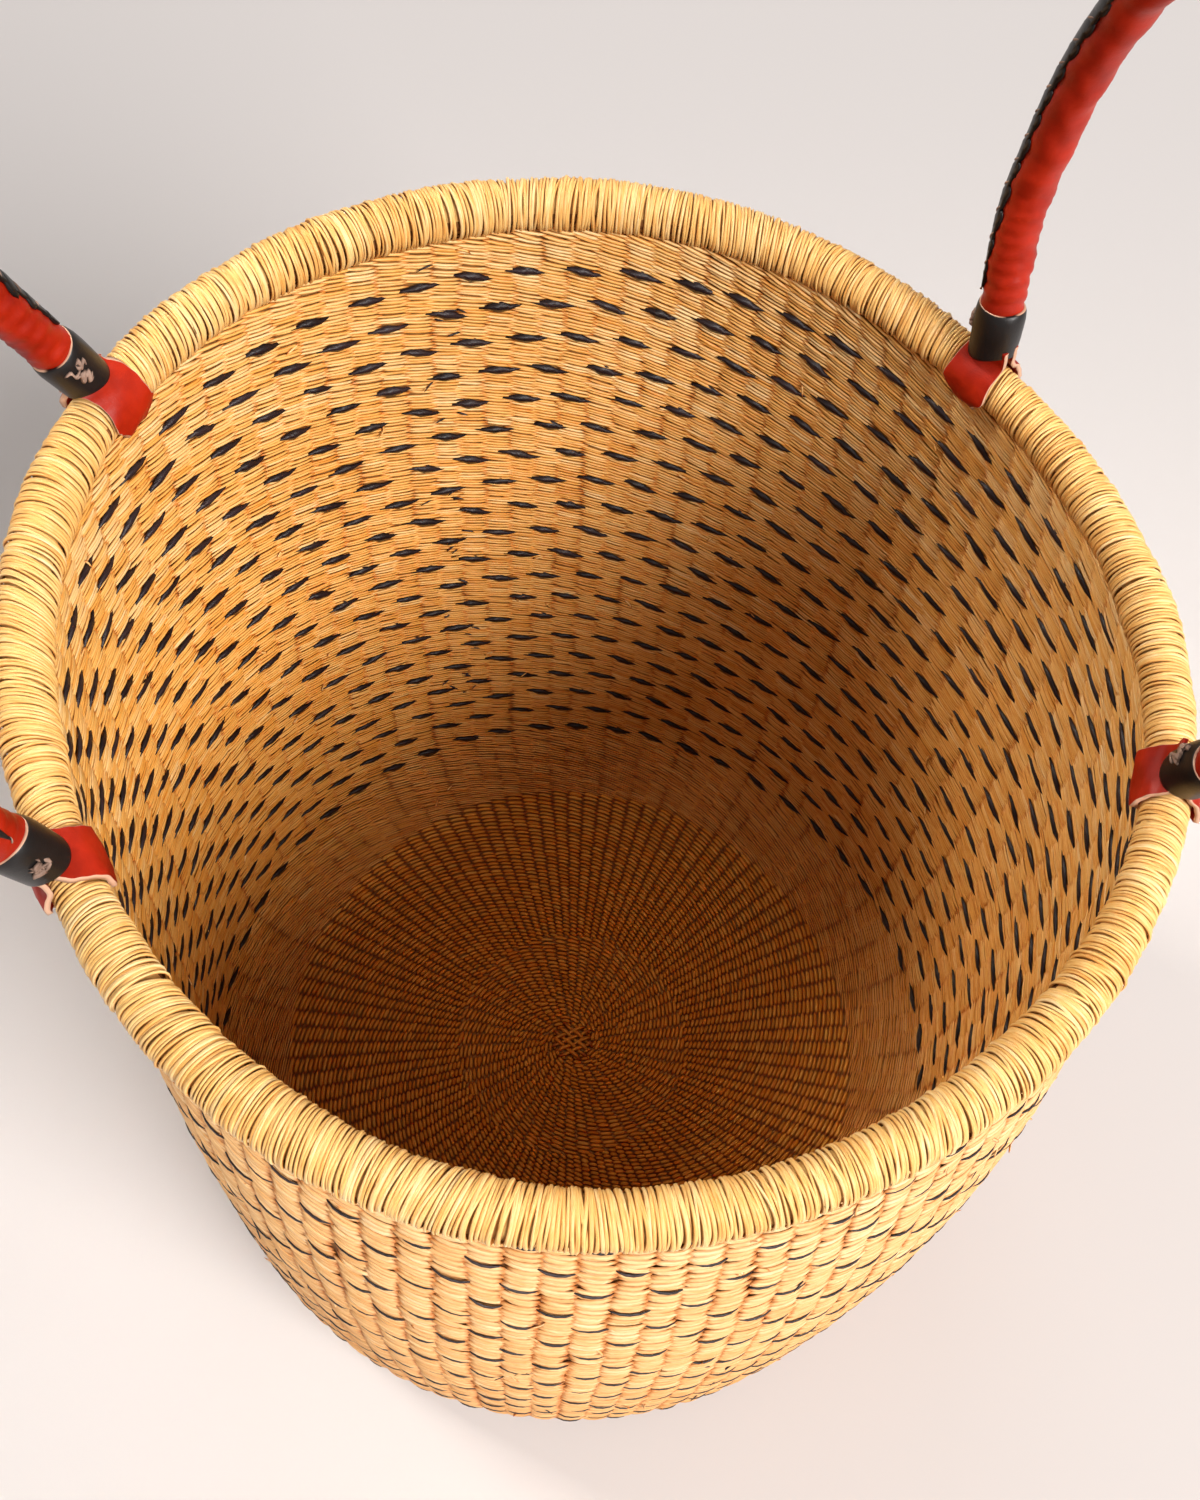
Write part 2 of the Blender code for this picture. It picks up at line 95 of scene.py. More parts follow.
# Handles and straps, on the lines of the CAD source with slightly thinner leather
HANDLE_TOP = 0.240
ARCH_SPRING = 0.105
LEG_FLARE = 0.080
HANDLE_RADIUS = 0.0079
HANDLE_BORE = 0.0059
CUFF_TOP = 0.033
CUFF_THICKNESS = 0.0012
SADDLE_RADIUS = 0.0153
KNOT_HEIGHT = 0.0245
STRAP_MIDDLE_RADIUS = 0.0111
STRAP_THICKNESS = 0.0018
STRAP_WIDTH = 0.0180
STRAP_TIP_WIDTH = 0.0095
SIDES = {
    "right": {"half_width": 0.107, "ends": ("front", "back"), "angles": (-6.0, 48.5)},
    "left": {"half_width": 0.083, "ends": ("back", "front"), "angles": (162.0, 215.0)},
}

# Necks of the straps, where they bend, and the lacing
NECK_TOP = 0.0205
NECK_FOOT = 0.0125
NECK_HALF_GAP = 0.0030
LACING_START = CUFF_TOP + 0.012
LACING_PITCH = 0.0098
LACING_ANGLE = 0.42

# Camera, as solved from the photograph
CAMERA_PLACE = (-0.0118, -0.27463, 0.84557)
CAMERA_RIGHT = (0.98932312, 0.12586839, 0.07346374)
CAMERA_DOWN = (0.14568158, -0.86821508, -0.47432)
CAMERA_AHEAD = (0.00408043, 0.47995805, -0.87728195)
CAMERA_SENSOR = 36
CAMERA_LENS = 37.536


def waves(turn, sizes, first=2):
    """Sum waves that go first, first + 1 and first + 2 times round."""
    total = np.zeros_like(turn)
    for count, (cosine, sine) in enumerate(zip(*sizes), start=first):
        total += cosine * np.cos(count * turn) + sine * np.sin(count * turn)
    return total


def handmade(turn, radius, height):
    """Take points of the perfect basket to their real, slightly uneven places."""
    share = height / RIM_HEIGHT
    reach = share * radius / RIM_RADIUS
    belly = np.maximum(1 - share, 0) * reach * 4
    real = radius + reach * waves(turn, SWELL_WAVES) + belly * waves(turn, BELLY_WAVES, 1)
    tilt = RIM_TILT[0] * np.cos(turn) + RIM_TILT[1] * np.sin(turn)
    x = real * np.cos(turn) + share * RIM_SHIFT[0]
    y = real * np.sin(turn) + share * RIM_SHIFT[1]
    rise = reach * tilt + reach * share * waves(turn, RISE_WAVES)
    return np.stack([x, y, height + rise], axis=-1)


def wall_radius(height):
    """Outer radius of the wall, upright inside the rim and a cubic curve below."""
    here = np.minimum(height, RIM_UNDERSIDE)
    total = np.zeros_like(here)
    for place, (knot, radius) in enumerate(zip(WALL_HEIGHTS, WALL_RADII)):
        weight = np.ones_like(here)
        for other_place, other in enumerate(WALL_HEIGHTS):
            if other_place != place:
                weight *= (here - other) / (knot - other)
        total += weight * radius
    return total


def make_profile():
    """Return the wall's middle line from rim to centre: lengths, points, normals, floor start."""
    heights = np.linspace(RIM_HEIGHT, CORNER_RADIUS, 700)
    upper = np.stack([wall_radius(heights) - WALL_THICKNESS / 2, heights], axis=1)
    bend = np.linspace(0, math.pi / 2, 160)[1:]
    middle = CORNER_RADIUS - WALL_THICKNESS / 2
    corner = np.stack([FLOOR_RADIUS + middle * np.cos(bend), CORNER_RADIUS - middle * np.sin(bend)], axis=1)
    flat = np.linspace(FLOOR_RADIUS, 0, 300)[1:]
    floor = np.stack([flat, np.full_like(flat, WALL_THICKNESS / 2)], axis=1)
    line = np.concatenate([upper, corner, floor])
    steps = np.linalg.norm(np.diff(line, axis=0), axis=1)
    lengths = np.concatenate([[0.0], np.cumsum(steps)])
    along = np.gradient(line, axis=0)
    along /= np.linalg.norm(along, axis=1)[:, None]
    normals = np.stack([-along[:, 1], along[:, 0]], axis=1)
    return lengths, line, normals, lengths[len(upper) + len(corner) - 1]


LENGTHS, LINE, NORMALS, FLOOR_START = make_profile()
TOTAL = LENGTHS[-1]


def radius_at(length):
    """Radius of the wall's middle line at a length down from the rim."""
    return np.interp(length, LENGTHS, LINE[:, 0])


def on_wall(turn, length, lift):
    """Points at an angle and a length down the wall, lifted to the outside."""
    height = np.interp(length, LENGTHS, LINE[:, 1])
    outward = np.interp(length, LENGTHS, NORMALS[:, 0])
    upward = np.interp(length, LENGTHS, NORMALS[:, 1])
    height = np.maximum(height + lift * upward, FOOT_CLEARANCE)
    return handmade(turn, np.maximum(radius_at(length) + lift * outward, 0.0), height)


def volume(verts, faces):
    """Signed volume that the faces enclose, to tell which way they look."""
    total = 0.0
    for group in faces:
        corners = verts[group]
        for place in range(1, group.shape[1] - 1):
            cross = np.cross(corners[:, place], corners[:, place + 1])
            total += np.einsum("ij,ij->", corners[:, 0], cross)
    return total


def new_piece(name, verts, faces, uvs, tones, mat, body):
    """Make one mesh piece from vertices and groups of equal faces; body None means no parent yet."""
    if volume(verts, faces) < 0:
        faces = [group[:, ::-1] for group in faces]
    mesh = bpy.data.meshes.new(name)
    loops = np.concatenate([group.ravel() for group in faces])
    sizes = np.concatenate([np.full(len(group), group.shape[1]) for group in faces])
    starts = np.concatenate([[0], np.cumsum(sizes)[:-1]])
    mesh.vertices.add(len(verts))
    mesh.vertices.foreach_set("co", verts.astype(np.float32).ravel())
    mesh.loops.add(len(loops))
    mesh.loops.foreach_set("vertex_index", loops.astype(np.int32))
    mesh.polygons.add(len(sizes))
    mesh.polygons.foreach_set("loop_start", starts.astype(np.int32))
    mesh.polygons.foreach_set("loop_total", sizes.astype(np.int32))
    mesh.update(calc_edges=True)
    for layer_name, layer in uvs.items():
        made = mesh.uv_layers.new(name=layer_name)
        made.data.foreach_set("uv", layer[loops].astype(np.float32).ravel())
    tone = mesh.attributes.new("tone", "FLOAT_COLOR", "POINT")
    tone.data.foreach_set("color", tones.astype(np.float32).ravel())
    mesh.shade_smooth()
    mesh.materials.append(mat)
    piece = bpy.data.objects.new(name, mesh)
    bpy.context.scene.collection.objects.link(piece)
    if body:
        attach(piece, body)
    return piece


def bake_cells(count, u, v):
    """Give each strand its own small cell of one square texture."""
    side = math.ceil(math.sqrt(count))
    cell = np.arange(count)
    column = (cell % side)[:, None]
    row = (cell // side)[:, None]
    return np.stack([(column + 0.08 + 0.84 * u) / side, (row + 0.08 + 0.84 * v) / side], axis=-1)


def strand_faces(count, rings, sides):
    """Faces of many closed strands: a tip, rings of section points and another tip."""
    each = rings * sides + 2
    base = (np.arange(count) * each)[:, None, None]
    ring, side = np.meshgrid(np.arange(rings - 1), np.arange(sides), indexing="ij")
    after = (side + 1) % sides
    here = ring * sides + side
    beside = ring * sides + after
    quads = 1 + np.stack([here, beside, beside + sides, here + sides], axis=-1).reshape(-1, 4)
    side = np.arange(sides)
    after = (side + 1) % sides
    last = 1 + (rings - 1) * sides
    first_tip = np.stack([0 * side, 1 + after, 1 + side], axis=-1)
    last_tip = np.stack([0 * side + each - 1, last + side, last + after], axis=-1)
    tris = np.concatenate([first_tip, last_tip])
    return [(base + quads).reshape(-1, 4), (base + tris).reshape(-1, 3)]


def walked(points, axis):
    """Length walked along one axis of a grid of points, in millimetres."""
    steps = np.linalg.norm(np.diff(points, axis=axis), axis=-1) * 1000
    start = np.zeros_like(np.take(steps, [0], axis=axis))
    return np.concatenate([start, np.cumsum(steps, axis=axis)], axis=axis)


def strands(name, grid, tips, crown, tone, mat, body="basket"):
    """Make closed strands; grid is strand, ring, section point; crown is 1 on their ridge."""
    count, rings, sides, _ = grid.shape
    verts = np.concatenate([tips[0][:, None], grid.reshape(count, -1, 3), tips[1][:, None]], axis=1)
    along = walked(grid, 1)
    across = walked(grid, 2)
    share = along / np.maximum(along[:, -1:], 1e-6)

    def with_tips(values, first, last):
        """Add the two tips' values to the values of a grid."""
        ends = np.ones((count, 1))
        return np.concatenate([ends * first, values.reshape(count, -1), ends * last], axis=1)

    u = with_tips(share, 0.0, 1.0)
    v = with_tips(np.broadcast_to(np.arange(sides) / sides, grid.shape[:3]), 0.5, 0.5)
    offset = rng.random((count, 1)) * 900
    fibre_u = with_tips(along, 0.0, 1.0) + offset
    fibre_v = with_tips(across, 0.5, 0.5) + offset
    tones = np.ones((count, verts.shape[1], 4))
    tones[:, :, 0] = tone[:, None]
    tones[:, :, 1] = rng.random((count, 1))
    # Blue falls to 0 at the strand's ends and alpha is 0 on its edges; the straw material darkens both as
    # painted shade.
    tones[:, :, 2] = 1 - np.abs(2 * u - 1)
    tones[:, :, 3] = with_tips(np.broadcast_to(crown, grid.shape[:3]), 0.2, 0.2)
    uvs = {
        "Fibre": np.stack([fibre_u, fibre_v], axis=-1).reshape(-1, 2),
        "OFBake": bake_cells(count, u, v).reshape(-1, 2),
    }
    faces = strand_faces(count, rings, sides)
    return new_piece(name, verts.reshape(-1, 3), faces, uvs, tones.reshape(-1, 4), mat, body)


def wall_strands(name, turn, length, lift, wide, drop, tone, face, mat):
    """Make strands that lie on the wall: the middle line, half width and edge drop at each ring."""
    radius = np.maximum(radius_at(length), LEAST_RADIUS)
    ahead = np.gradient(turn, axis=1) * radius
    down = np.gradient(length, axis=1)
    size = np.hypot(ahead, down)
    points = []
    for side, sink in ((1.0, 1.0), (0.0, 0.0), (-1.0, 1.0)):
        side_turn = turn - side * wide * down / size / radius
        side_length = length + side * wide * ahead / size
        points.append(on_wall(side_turn, side_length, face * (lift - sink * drop)))
    grid = np.stack(points, axis=2)
    tips = on_wall(turn, length, face * (lift - 0.0002))
    crown = np.array([0.0, 1.0, 0.0])
    return strands(name, grid[:, 1:-1], (tips[:, 0], tips[:, -1]), crown, tone, mat)


def shell(name, outer, inner, wear_and_shade, mat, slot, body, wrap):
    """Make a closed sheet between two grids of points; wrap joins its last column to its first."""
    rows, columns = outer.shape[:2]
    verts = np.concatenate([outer.reshape(-1, 3), inner.reshape(-1, 3)])
    half = rows * columns
    row, column = np.meshgrid(np.arange(rows - 1), np.arange(columns - (not wrap)), indexing="ij")
    after = (column + 1) % columns
    here = row * columns + column
    beside = row * columns + after
    skin = np.stack([here, beside, beside + columns, here + columns], axis=-1).reshape(-1, 4)
    faces = [skin, skin[:, ::-1] + half]
    column = np.arange(columns - (not wrap))
    after = (column + 1) % columns
    last = (rows - 1) * columns
    faces.append(np.stack([after, column, column + half, after + half], axis=-1))
    end = np.stack([column, after, after + half, column + half], axis=-1)
    faces.append(last + end)
    if not wrap:
        row = np.arange(rows - 1) * columns
        end = row + columns - 1
        faces.append(np.stack([row, row + columns, row + columns + half, row + half], axis=-1))
        faces.append(np.stack([end + columns, end, end + half, end + columns + half], axis=-1))
    bake_row = np.linspace(0, 1, rows) * 0.98 + 0.01
    bake_column = np.linspace(0, 0.48, columns)
    bake = np.stack(np.meshgrid(bake_column, bake_row), axis=-1).reshape(-1, 2)
    bake = np.concatenate([bake + (0.005, 0), bake + (0.51, 0)])
    fibre = np.stack([walked(outer, 0), walked(outer, 1)], axis=-1).reshape(-1, 2)
    tones = np.ones((2 * half, 4))
    # The red tone marks worn raw edges on the leather and painted shade between the stakes on the weave
    # core.
    tones[:, 0] = np.tile(np.broadcast_to(wear_and_shade, outer.shape[:2]).ravel(), 2)
    uvs = {"Fibre": np.tile(fibre, (2, 1)), "OFBake": bake}
    return new_piece(name, verts, [np.concatenate(faces)], uvs, tones, mat, body)


def node(tree, kind, inputs=None, **settings):
    """Add a shader node with its settings and plain input values."""
    made = tree.nodes.new(kind)
    for key, value in settings.items():
        setattr(made, key, value)
    for key, value in (inputs or {}).items():
        made.inputs[key].default_value = value
    return made


def ramp(tree, source, stops):
    """Add a colour ramp with the given stops, fed by a socket."""
    made = tree.nodes.new("ShaderNodeValToRGB")
    points = made.color_ramp.elements
    points[0].position, points[0].color = stops[0][0], (*stops[0][1], 1)
    points[1].position, points[1].color = stops[-1][0], (*stops[-1][1], 1)
    for place, colour in stops[1:-1]:
        points.new(place).color = (*colour, 1)
    tree.links.new(source, made.inputs["Fac"])
    return made.outputs["Color"]


def mix(tree, kind, fac, a, b):
    """Mix two colours; each input is a socket or a plain value."""
    made = node(tree, "ShaderNodeMix", data_type="RGBA", blend_type=kind)
    for socket, value in ((made.inputs[0], fac), (made.inputs[6], a), (made.inputs[7], b)):
        if isinstance(value, bpy.types.NodeSocket):
            tree.links.new(value, socket)
        elif isinstance(value, float):
            socket.default_value = value
        else:
            socket.default_value = (*value, 1)
    return made.outputs[2]


def new_material(name, roughness):
    """Return a new material with its node tree and shader."""
    mat = bpy.data.materials.new(name)
    mat.use_nodes = True
    shader = mat.node_tree.nodes["Principled BSDF"]
    shader.inputs["Roughness"].default_value = roughness
    return mat, mat.node_tree, shader


def tone_parts(tree):
    """Return the red, green, blue and alpha sockets of the tone attribute."""
    tone = node(tree, "ShaderNodeAttribute", attribute_name="tone")
    parts = node(tree, "ShaderNodeSeparateColor")
    tree.links.new(tone.outputs["Color"], parts.inputs["Color"])
    return parts.outputs["Red"], parts.outputs["Green"], parts.outputs["Blue"], tone.outputs["Alpha"]


def fibre_noise(tree, scale, detail):
    """Noise that runs along each strand, from its millimetre map."""
    uv = node(tree, "ShaderNodeUVMap", uv_map="Fibre")
    stretch = node(tree, "ShaderNodeMapping", {"Scale": (*scale, 1.0)})
    tree.links.new(uv.outputs["UV"], stretch.inputs["Vector"])
    noise = node(tree, "ShaderNodeTexNoise", {"Scale": 1.0, "Detail": detail, "Roughness": 0.6})
    tree.links.new(stretch.outputs["Vector"], noise.inputs["Vector"])
    return noise.outputs["Fac"]


def straw_material(name, stops, streak, edge, crease, end, roughness, specular):
    """Grass strand: its tone, fine straws along it, and painted shade on its edges, on its ends and in the
    fold down its ridge.
    """
    mat, tree, shader = new_material(name, roughness)
    red, _, blue, alpha = tone_parts(tree)
    fibres = fibre_noise(tree, (0.07, 1.9), 4.0)
    patches = fibre_noise(tree, (0.16, 0.35), 2.0)
    colour = ramp(tree, red, stops)
    colour = mix(tree, "MULTIPLY", 1.0, colour, ramp(tree, fibres, streak))
    blotches = ramp(tree, patches, [(0.3, (0.93, 0.80, 0.64)), (0.55, (1, 1, 1))])
    colour = mix(tree, "MULTIPLY", 1.0, colour, blotches)
    # Painted shade: the strand is darkened on its edges and in the fold down its ridge, and below at its
    # tucked ends.
    ridge = [(0.0, edge), (0.55, (1, 1, 1)), (0.84, (1, 1, 1)), (1.0, crease)]
    colour = mix(tree, "MULTIPLY", 1.0, colour, ramp(tree, alpha, ridge))
    colour = mix(tree, "MULTIPLY", 1.0, colour, ramp(tree, blue, [(0.0, end), (0.28, (1, 1, 1))]))
    tree.links.new(colour, shader.inputs["Base Color"])
    raised = node(tree, "ShaderNodeBump", {"Strength": 0.5, "Distance": 0.0005})
    tree.links.new(fibres, raised.inputs["Height"])
    tree.links.new(raised.outputs["Normal"], shader.inputs["Normal"])
    shader.inputs["Specular IOR Level"].default_value = specular
    return mat


def four_tones(darkest, dark, pale, palest):
    """Stops of a straw's colour, from its darkest to its palest tone."""
    return [(0.0, darkest), (0.3, dark), (0.65, pale), (1.0, palest)]


# The edge, crease and end colours of each straw are painted shade on the strand's sides, ridge fold and
# tips.
STREAK = [(0.30, (0.80, 0.54, 0.30)), (0.45, (0.96, 0.89, 0.80)), (0.6, (1, 1, 1)), (0.75, (1, 1, 1))]
STRAW = straw_material(
    "straw",
    four_tones((0.76, 0.32, 0.035), (0.84, 0.41, 0.075), (0.90, 0.53, 0.15), (0.96, 0.72, 0.36)),
    STREAK,
    edge=(0.68, 0.42, 0.22),
    crease=(0.90, 0.80, 0.66),
    end=(0.74, 0.46, 0.26),
    roughness=0.45,
    specular=0.55,
)
# The floor's straw is a deeper, more saturated copy of the straw: painted shade for the floor deep inside
# the basket.
SHADED_FLOOR_STRAW = straw_material(
    "shaded_floor_straw",
    four_tones((0.74, 0.26, 0.013), (0.82, 0.335, 0.025), (0.87, 0.42, 0.055), (0.91, 0.52, 0.10)),
    STREAK,
    edge=(0.72, 0.46, 0.26),
    crease=(0.86, 0.74, 0.58),
    end=(0.60, 0.32, 0.16),
    roughness=0.5,
    specular=0.4,
)
OUTSIDE_STRAW = straw_material(
    "outside_straw",
    four_tones((0.70, 0.36, 0.11), (0.80, 0.45, 0.17), (0.90, 0.56, 0.25), (0.96, 0.70, 0.40)),
    STREAK,
    edge=(0.80, 0.58, 0.38),
    crease=(0.92, 0.84, 0.72),
    end=(0.76, 0.50, 0.30),
    roughness=0.5,
    specular=0.45,
)
RIM_STRAW = straw_material(
    "rim_straw",
    four_tones((0.76, 0.42, 0.12), (0.87, 0.54, 0.18), (0.94, 0.65, 0.26), (0.98, 0.77, 0.42)),
    STREAK,
    edge=(0.68, 0.42, 0.22),
    crease=(0.92, 0.84, 0.72),
    end=(0.9, 0.85, 0.8),
    roughness=0.42,
    specular=0.5,
)
DARK_STRAW = straw_material(
    "dark_straw",
    [(0.0, (0.008, 0.004, 0.006)), (0.6, (0.016, 0.009, 0.011)), (1.0, (0.034, 0.021, 0.025))],
    [(0.35, (0.6, 0.5, 0.5)), (0.6, (1, 1, 1)), (0.8, (1.4, 1.3, 1.35))],
    edge=(0.8, 0.75, 0.75),
    crease=(0.9, 0.9, 0.9),
    end=(0.9, 0.8, 0.8),
    roughness=0.40,
    specular=0.4,
)


def make_under_straw(name, dark, pale):
    """Straw between the strands; its dark tone is painted shade in the gaps, darkest in the columns between
    the stakes.
    """
    mat, tree, shader = new_material(name, 0.85)
    red, _, _, _ = tone_parts(tree)
    place = node(tree, "ShaderNodeTexCoord")
    noise = node(tree, "ShaderNodeTexNoise", {"Scale": 260.0, "Detail": 3.0})
    tree.links.new(place.outputs["Object"], noise.inputs["Vector"])
    colour = ramp(tree, red, [(0.0, dark), (1.0, pale)])
    spots = ramp(tree, noise.outputs["Fac"], [(0.3, (0.7, 0.55, 0.4)), (0.6, (1, 1, 1))])
    colour = mix(tree, "MULTIPLY", 1.0, colour, spots)
    tree.links.new(colour, shader.inputs["Base Color"])
    raised = node(tree, "ShaderNodeBump", {"Strength": 0.4, "Distance": 0.0005})
    tree.links.new(noise.outputs["Fac"], raised.inputs["Height"])
    tree.links.new(raised.outputs["Normal"], shader.inputs["Normal"])
    return mat


# The dark end of the under straw is painted shade for the gaps between the strands.
SHADED_UNDER_STRAW = make_under_straw("under_straw", (0.24, 0.090, 0.018), (0.60, 0.29, 0.070))
RIM_UNDER = make_under_straw("rim_under_straw", (0.40, 0.20, 0.05), (0.78, 0.48, 0.15))


def leather_material(name, colour, dark, cut, roughness, specular):
    """Leather: blotches, creases and pores, with the cut edges in the raw colour."""
    mat, tree, shader = new_material(name, roughness)
    red, _, _, _ = tone_parts(tree)
    place = node(tree, "ShaderNodeTexCoord")
    large = node(tree, "ShaderNodeTexNoise", {"Scale": 60.0, "Detail": 6.0, "Roughness": 0.6})
    tree.links.new(place.outputs["Object"], large.inputs["Vector"])
    fine = node(tree, "ShaderNodeTexVoronoi", {"Scale": 1100.0}, feature="DISTANCE_TO_EDGE")
    tree.links.new(place.outputs["Object"], fine.inputs["Vector"])
    tone = ramp(tree, large.outputs["Fac"], [(0.30, dark), (0.60, colour)])
    wear_and_shade = ramp(tree, red, [(0.35, (0, 0, 0)), (0.65, (1, 1, 1))])
    tree.links.new(mix(tree, "MIX", wear_and_shade, tone, cut), shader.inputs["Base Color"])
    shader.inputs["Specular IOR Level"].default_value = specular
    first = node(tree, "ShaderNodeBump", {"Strength": 0.35, "Distance": 0.0009})
    tree.links.new(large.outputs["Fac"], first.inputs["Height"])
    second = node(tree, "ShaderNodeBump", {"Strength": 0.2, "Distance": 0.0002})
    tree.links.new(fine.outputs["Distance"], second.inputs["Height"])
    tree.links.new(first.outputs["Normal"], second.inputs["Normal"])
    tree.links.new(second.outputs["Normal"], shader.inputs["Normal"])
    return mat


RAW = (0.60, 0.36, 0.24)
RED = leather_material("red_leather_worn", (0.40, 0.017, 0.003), (0.23, 0.007, 0.001), RAW, 0.44, 0.22)
BLACK = leather_material("black_leather_worn", (0.013, 0.011, 0.011), (0.006, 0.005, 0.005), RAW, 0.38, 0.35)
TAN = leather_material("tan_leather_cut", (0.45, 0.30, 0.23), (0.12, 0.07, 0.05), RAW, 0.75, 0.3)


def row_lengths():
    """Lengths of all weft rows, from the rim to the floor's centre; each fifth one has dashes."""
    steps = np.arange(DASH_ROWS * DASH_EVERY + 1) / DASH_EVERY
    wall = FIRST_ROW + steps * DASH_PITCH * (1 + DASH_PITCH_GAIN * (1 - steps / DASH_ROWS))
    rows = list(wall)
    pitch = rows[-1] - rows[-2]
    while rows[-1] < TOTAL - CENTRE_HOLE:
        pitch += (FLOOR_ROW_PITCH - pitch) * 0.08
        rows.append(rows[-1] + pitch)
    return np.array(rows)


def make_core():
    """Make the thin closed core of wall and floor that the stitches lie on."""
    wall = np.linspace(0.001, FLOOR_START, 64)
    floor = np.linspace(FLOOR_START, TOTAL - 0.0005, 22)[1:]
    turn = np.arange(STAKES * 2) * math.pi / STAKES
    grid_turn, grid_length = np.meshgrid(turn, np.concatenate([wall, floor]))
    outer = on_wall(grid_turn, grid_length, CORE_HALF_THICKNESS)
    inner = on_wall(grid_turn, grid_length, -CORE_HALF_THICKNESS)
    # Every other column of the core takes the dark tone: painted shade in the columns between the stakes.
    between = (np.arange(STAKES * 2) + 1) % 2
    core = shell("weave_core", outer, inner, between, SHADED_UNDER_STRAW, "woven_grass", "basket", True)
    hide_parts("woven_wall", "woven_floor")


def stitches(name, cells, style, face, mat):
    """Make one group of stitches, each of one or more straws, from their places and their side's style."""
    straws = style["straws"]
    cells = np.repeat(cells, straws, axis=0)
    turn, length, pitch, row_pitch, tone = (column[:, None] for column in cells.T)
    own = np.tile(np.arange(straws) - (straws - 1) / 2, len(cells) // straws)[:, None]
    length = length + own * style["spread"] * row_pitch
    radius = np.maximum(radius_at(length), LEAST_RADIUS)
    turn = turn + style["stray"] * pitch * rng.normal(size=turn.shape) / radius
    tone = np.clip(tone + 0.07 * rng.normal(size=tone.shape), 0, 1)
    t = STITCH_PLACES[None, :]
    count = len(cells)

    def varied(share):
        """One random factor about 1 for each stitch."""
        return 1 + share * rng.normal(size=(count, 1))

    half = pitch * style["half"] * varied(0.07)
    turns = turn + t * half / radius
    slant = style["slant"] * row_pitch * varied(style["uneven"])
    wave = style["wave"] * varied(0.5) * np.sin(math.pi * t)
    lengths = length + slant * t + wave + style["bow"] * (1 - t ** 2)
    fullness = (1 - np.abs(t) ** style["blunt"]) ** style["point"]
    wide = row_pitch * style["wide"] * varied(0.10) * fullness
    high = style["high"] * varied(0.05)
    lift = style["low"] + (high - style["low"]) * (1 - np.abs(t) ** style["crest"])
    drop = style["drop"] * row_pitch * style["wide"] * (0.6 + 0.4 * fullness)
    return wall_strands(name, turns, lengths, lift, wide, drop, tone[:, 0], face, mat)


# How each side is woven. half and stray are shares of the stake pitch, slant, wide and spread are shares
# of the row pitch, and drop is a share of the half width. wave, bow, low and high are lengths. blunt, point
# and crest are powers of the outline.
INSIDE = {
    "half": 0.80, "slant": -0.60, "uneven": 0.08, "wave": -0.00012, "bow": 0.0, "wide": 0.255, "straws": 2,
    "spread": 0.50, "stray": 0.05, "blunt": 2.2, "point": 0.8, "low": 0.0017, "high": 0.0028, "crest": 2.0,
    "drop": 0.72,
}
INSIDE_DASH = dict(
    INSIDE, half=0.94, slant=-0.34, uneven=0.6, wave=-0.00080, wide=0.76, straws=1, stray=0.06,
    blunt=1.25, point=1.5, low=0.0020, high=0.0038, drop=0.42
)
OUTSIDE = {
    "half": 0.66, "slant": 0.34, "uneven": 0.5, "wave": 0.0, "bow": 0.0004, "wide": 0.58, "straws": 1,
    "spread": 0.0, "stray": 0.04, "blunt": 3.2, "point": 0.7, "low": 0.0017, "high": 0.0033, "crest": 2.4,
    "drop": 0.36,
}
OUTSIDE_DASH = dict(
    OUTSIDE, half=0.60, slant=0.30, uneven=0.3, bow=0.0013, wide=0.30, blunt=2.0, point=1.0,
    low=0.0018, high=0.0037, drop=0.5
)
FLOOR_INSIDE = dict(
    INSIDE, half=0.60, slant=-0.45, wide=0.48, straws=1, stray=0.03, blunt=3.0,
    low=0.0012, high=0.0029, drop=0.6
)
FLOOR_UNDER = dict(OUTSIDE, half=0.66, high=0.0026, wide=0.52)


def row_wave(turn, length):
    """How far rows stray from their even places, in slow waves round the wall."""
    first = np.sin(3 * turn + 40 * length) + 0.7 * np.sin(7 * turn - 55 * length + 1.0)
    return 0.00035 * first + 0.00020 * np.sin(17 * turn + 90 * length)


def wall_cells(rows, face):
    """Places of the wall's plain stitches and of its dark dashes on one face."""
    wander = np.cumsum(rng.normal(0, 0.006, (len(rows), STAKES)), axis=0)
    bands = rng.normal(0, 0.04, (len(rows) // DASH_EVERY + 1, STAKES))
    wander += np.repeat(bands, DASH_EVERY, axis=0)[: len(rows)]
    plain = []
    dark = []
    for number in np.flatnonzero(rows < FLOOR_START + 0.001):
        stake = np.arange(STAKES)
        turn = (stake + wander[number]) * math.tau / STAKES
        row_pitch = rows[number + 1] - rows[number]
        length = rows[number] + row_wave(turn, rows[number]) + rng.normal(0, 0.00010, STAKES)
        pitch = np.full(STAKES, math.tau * radius_at(rows[number]) / STAKES)
        depth = rows[number] / FLOOR_START
        # Painted shade: the tone falls from the rim towards the floor on both faces of the wall, with a
        # random tone for each stitch on top.
        tone = np.clip(0.78 - 0.55 * depth + 0.13 * rng.normal(size=STAKES), 0, 1)
        cells = np.stack([turn, length, pitch, np.full(STAKES, row_pitch), tone], axis=1)
        dash_row, rest = divmod(number, DASH_EVERY)
        is_dark = (stake + dash_row + (face > 0)) % 2 == 0
        if rest or not 0 < dash_row <= DASH_ROWS:
            is_dark = np.zeros(STAKES, bool)
        plain.append(cells[~is_dark])
        dark.append(cells[is_dark])
    return np.concatenate(plain), np.concatenate(dark)


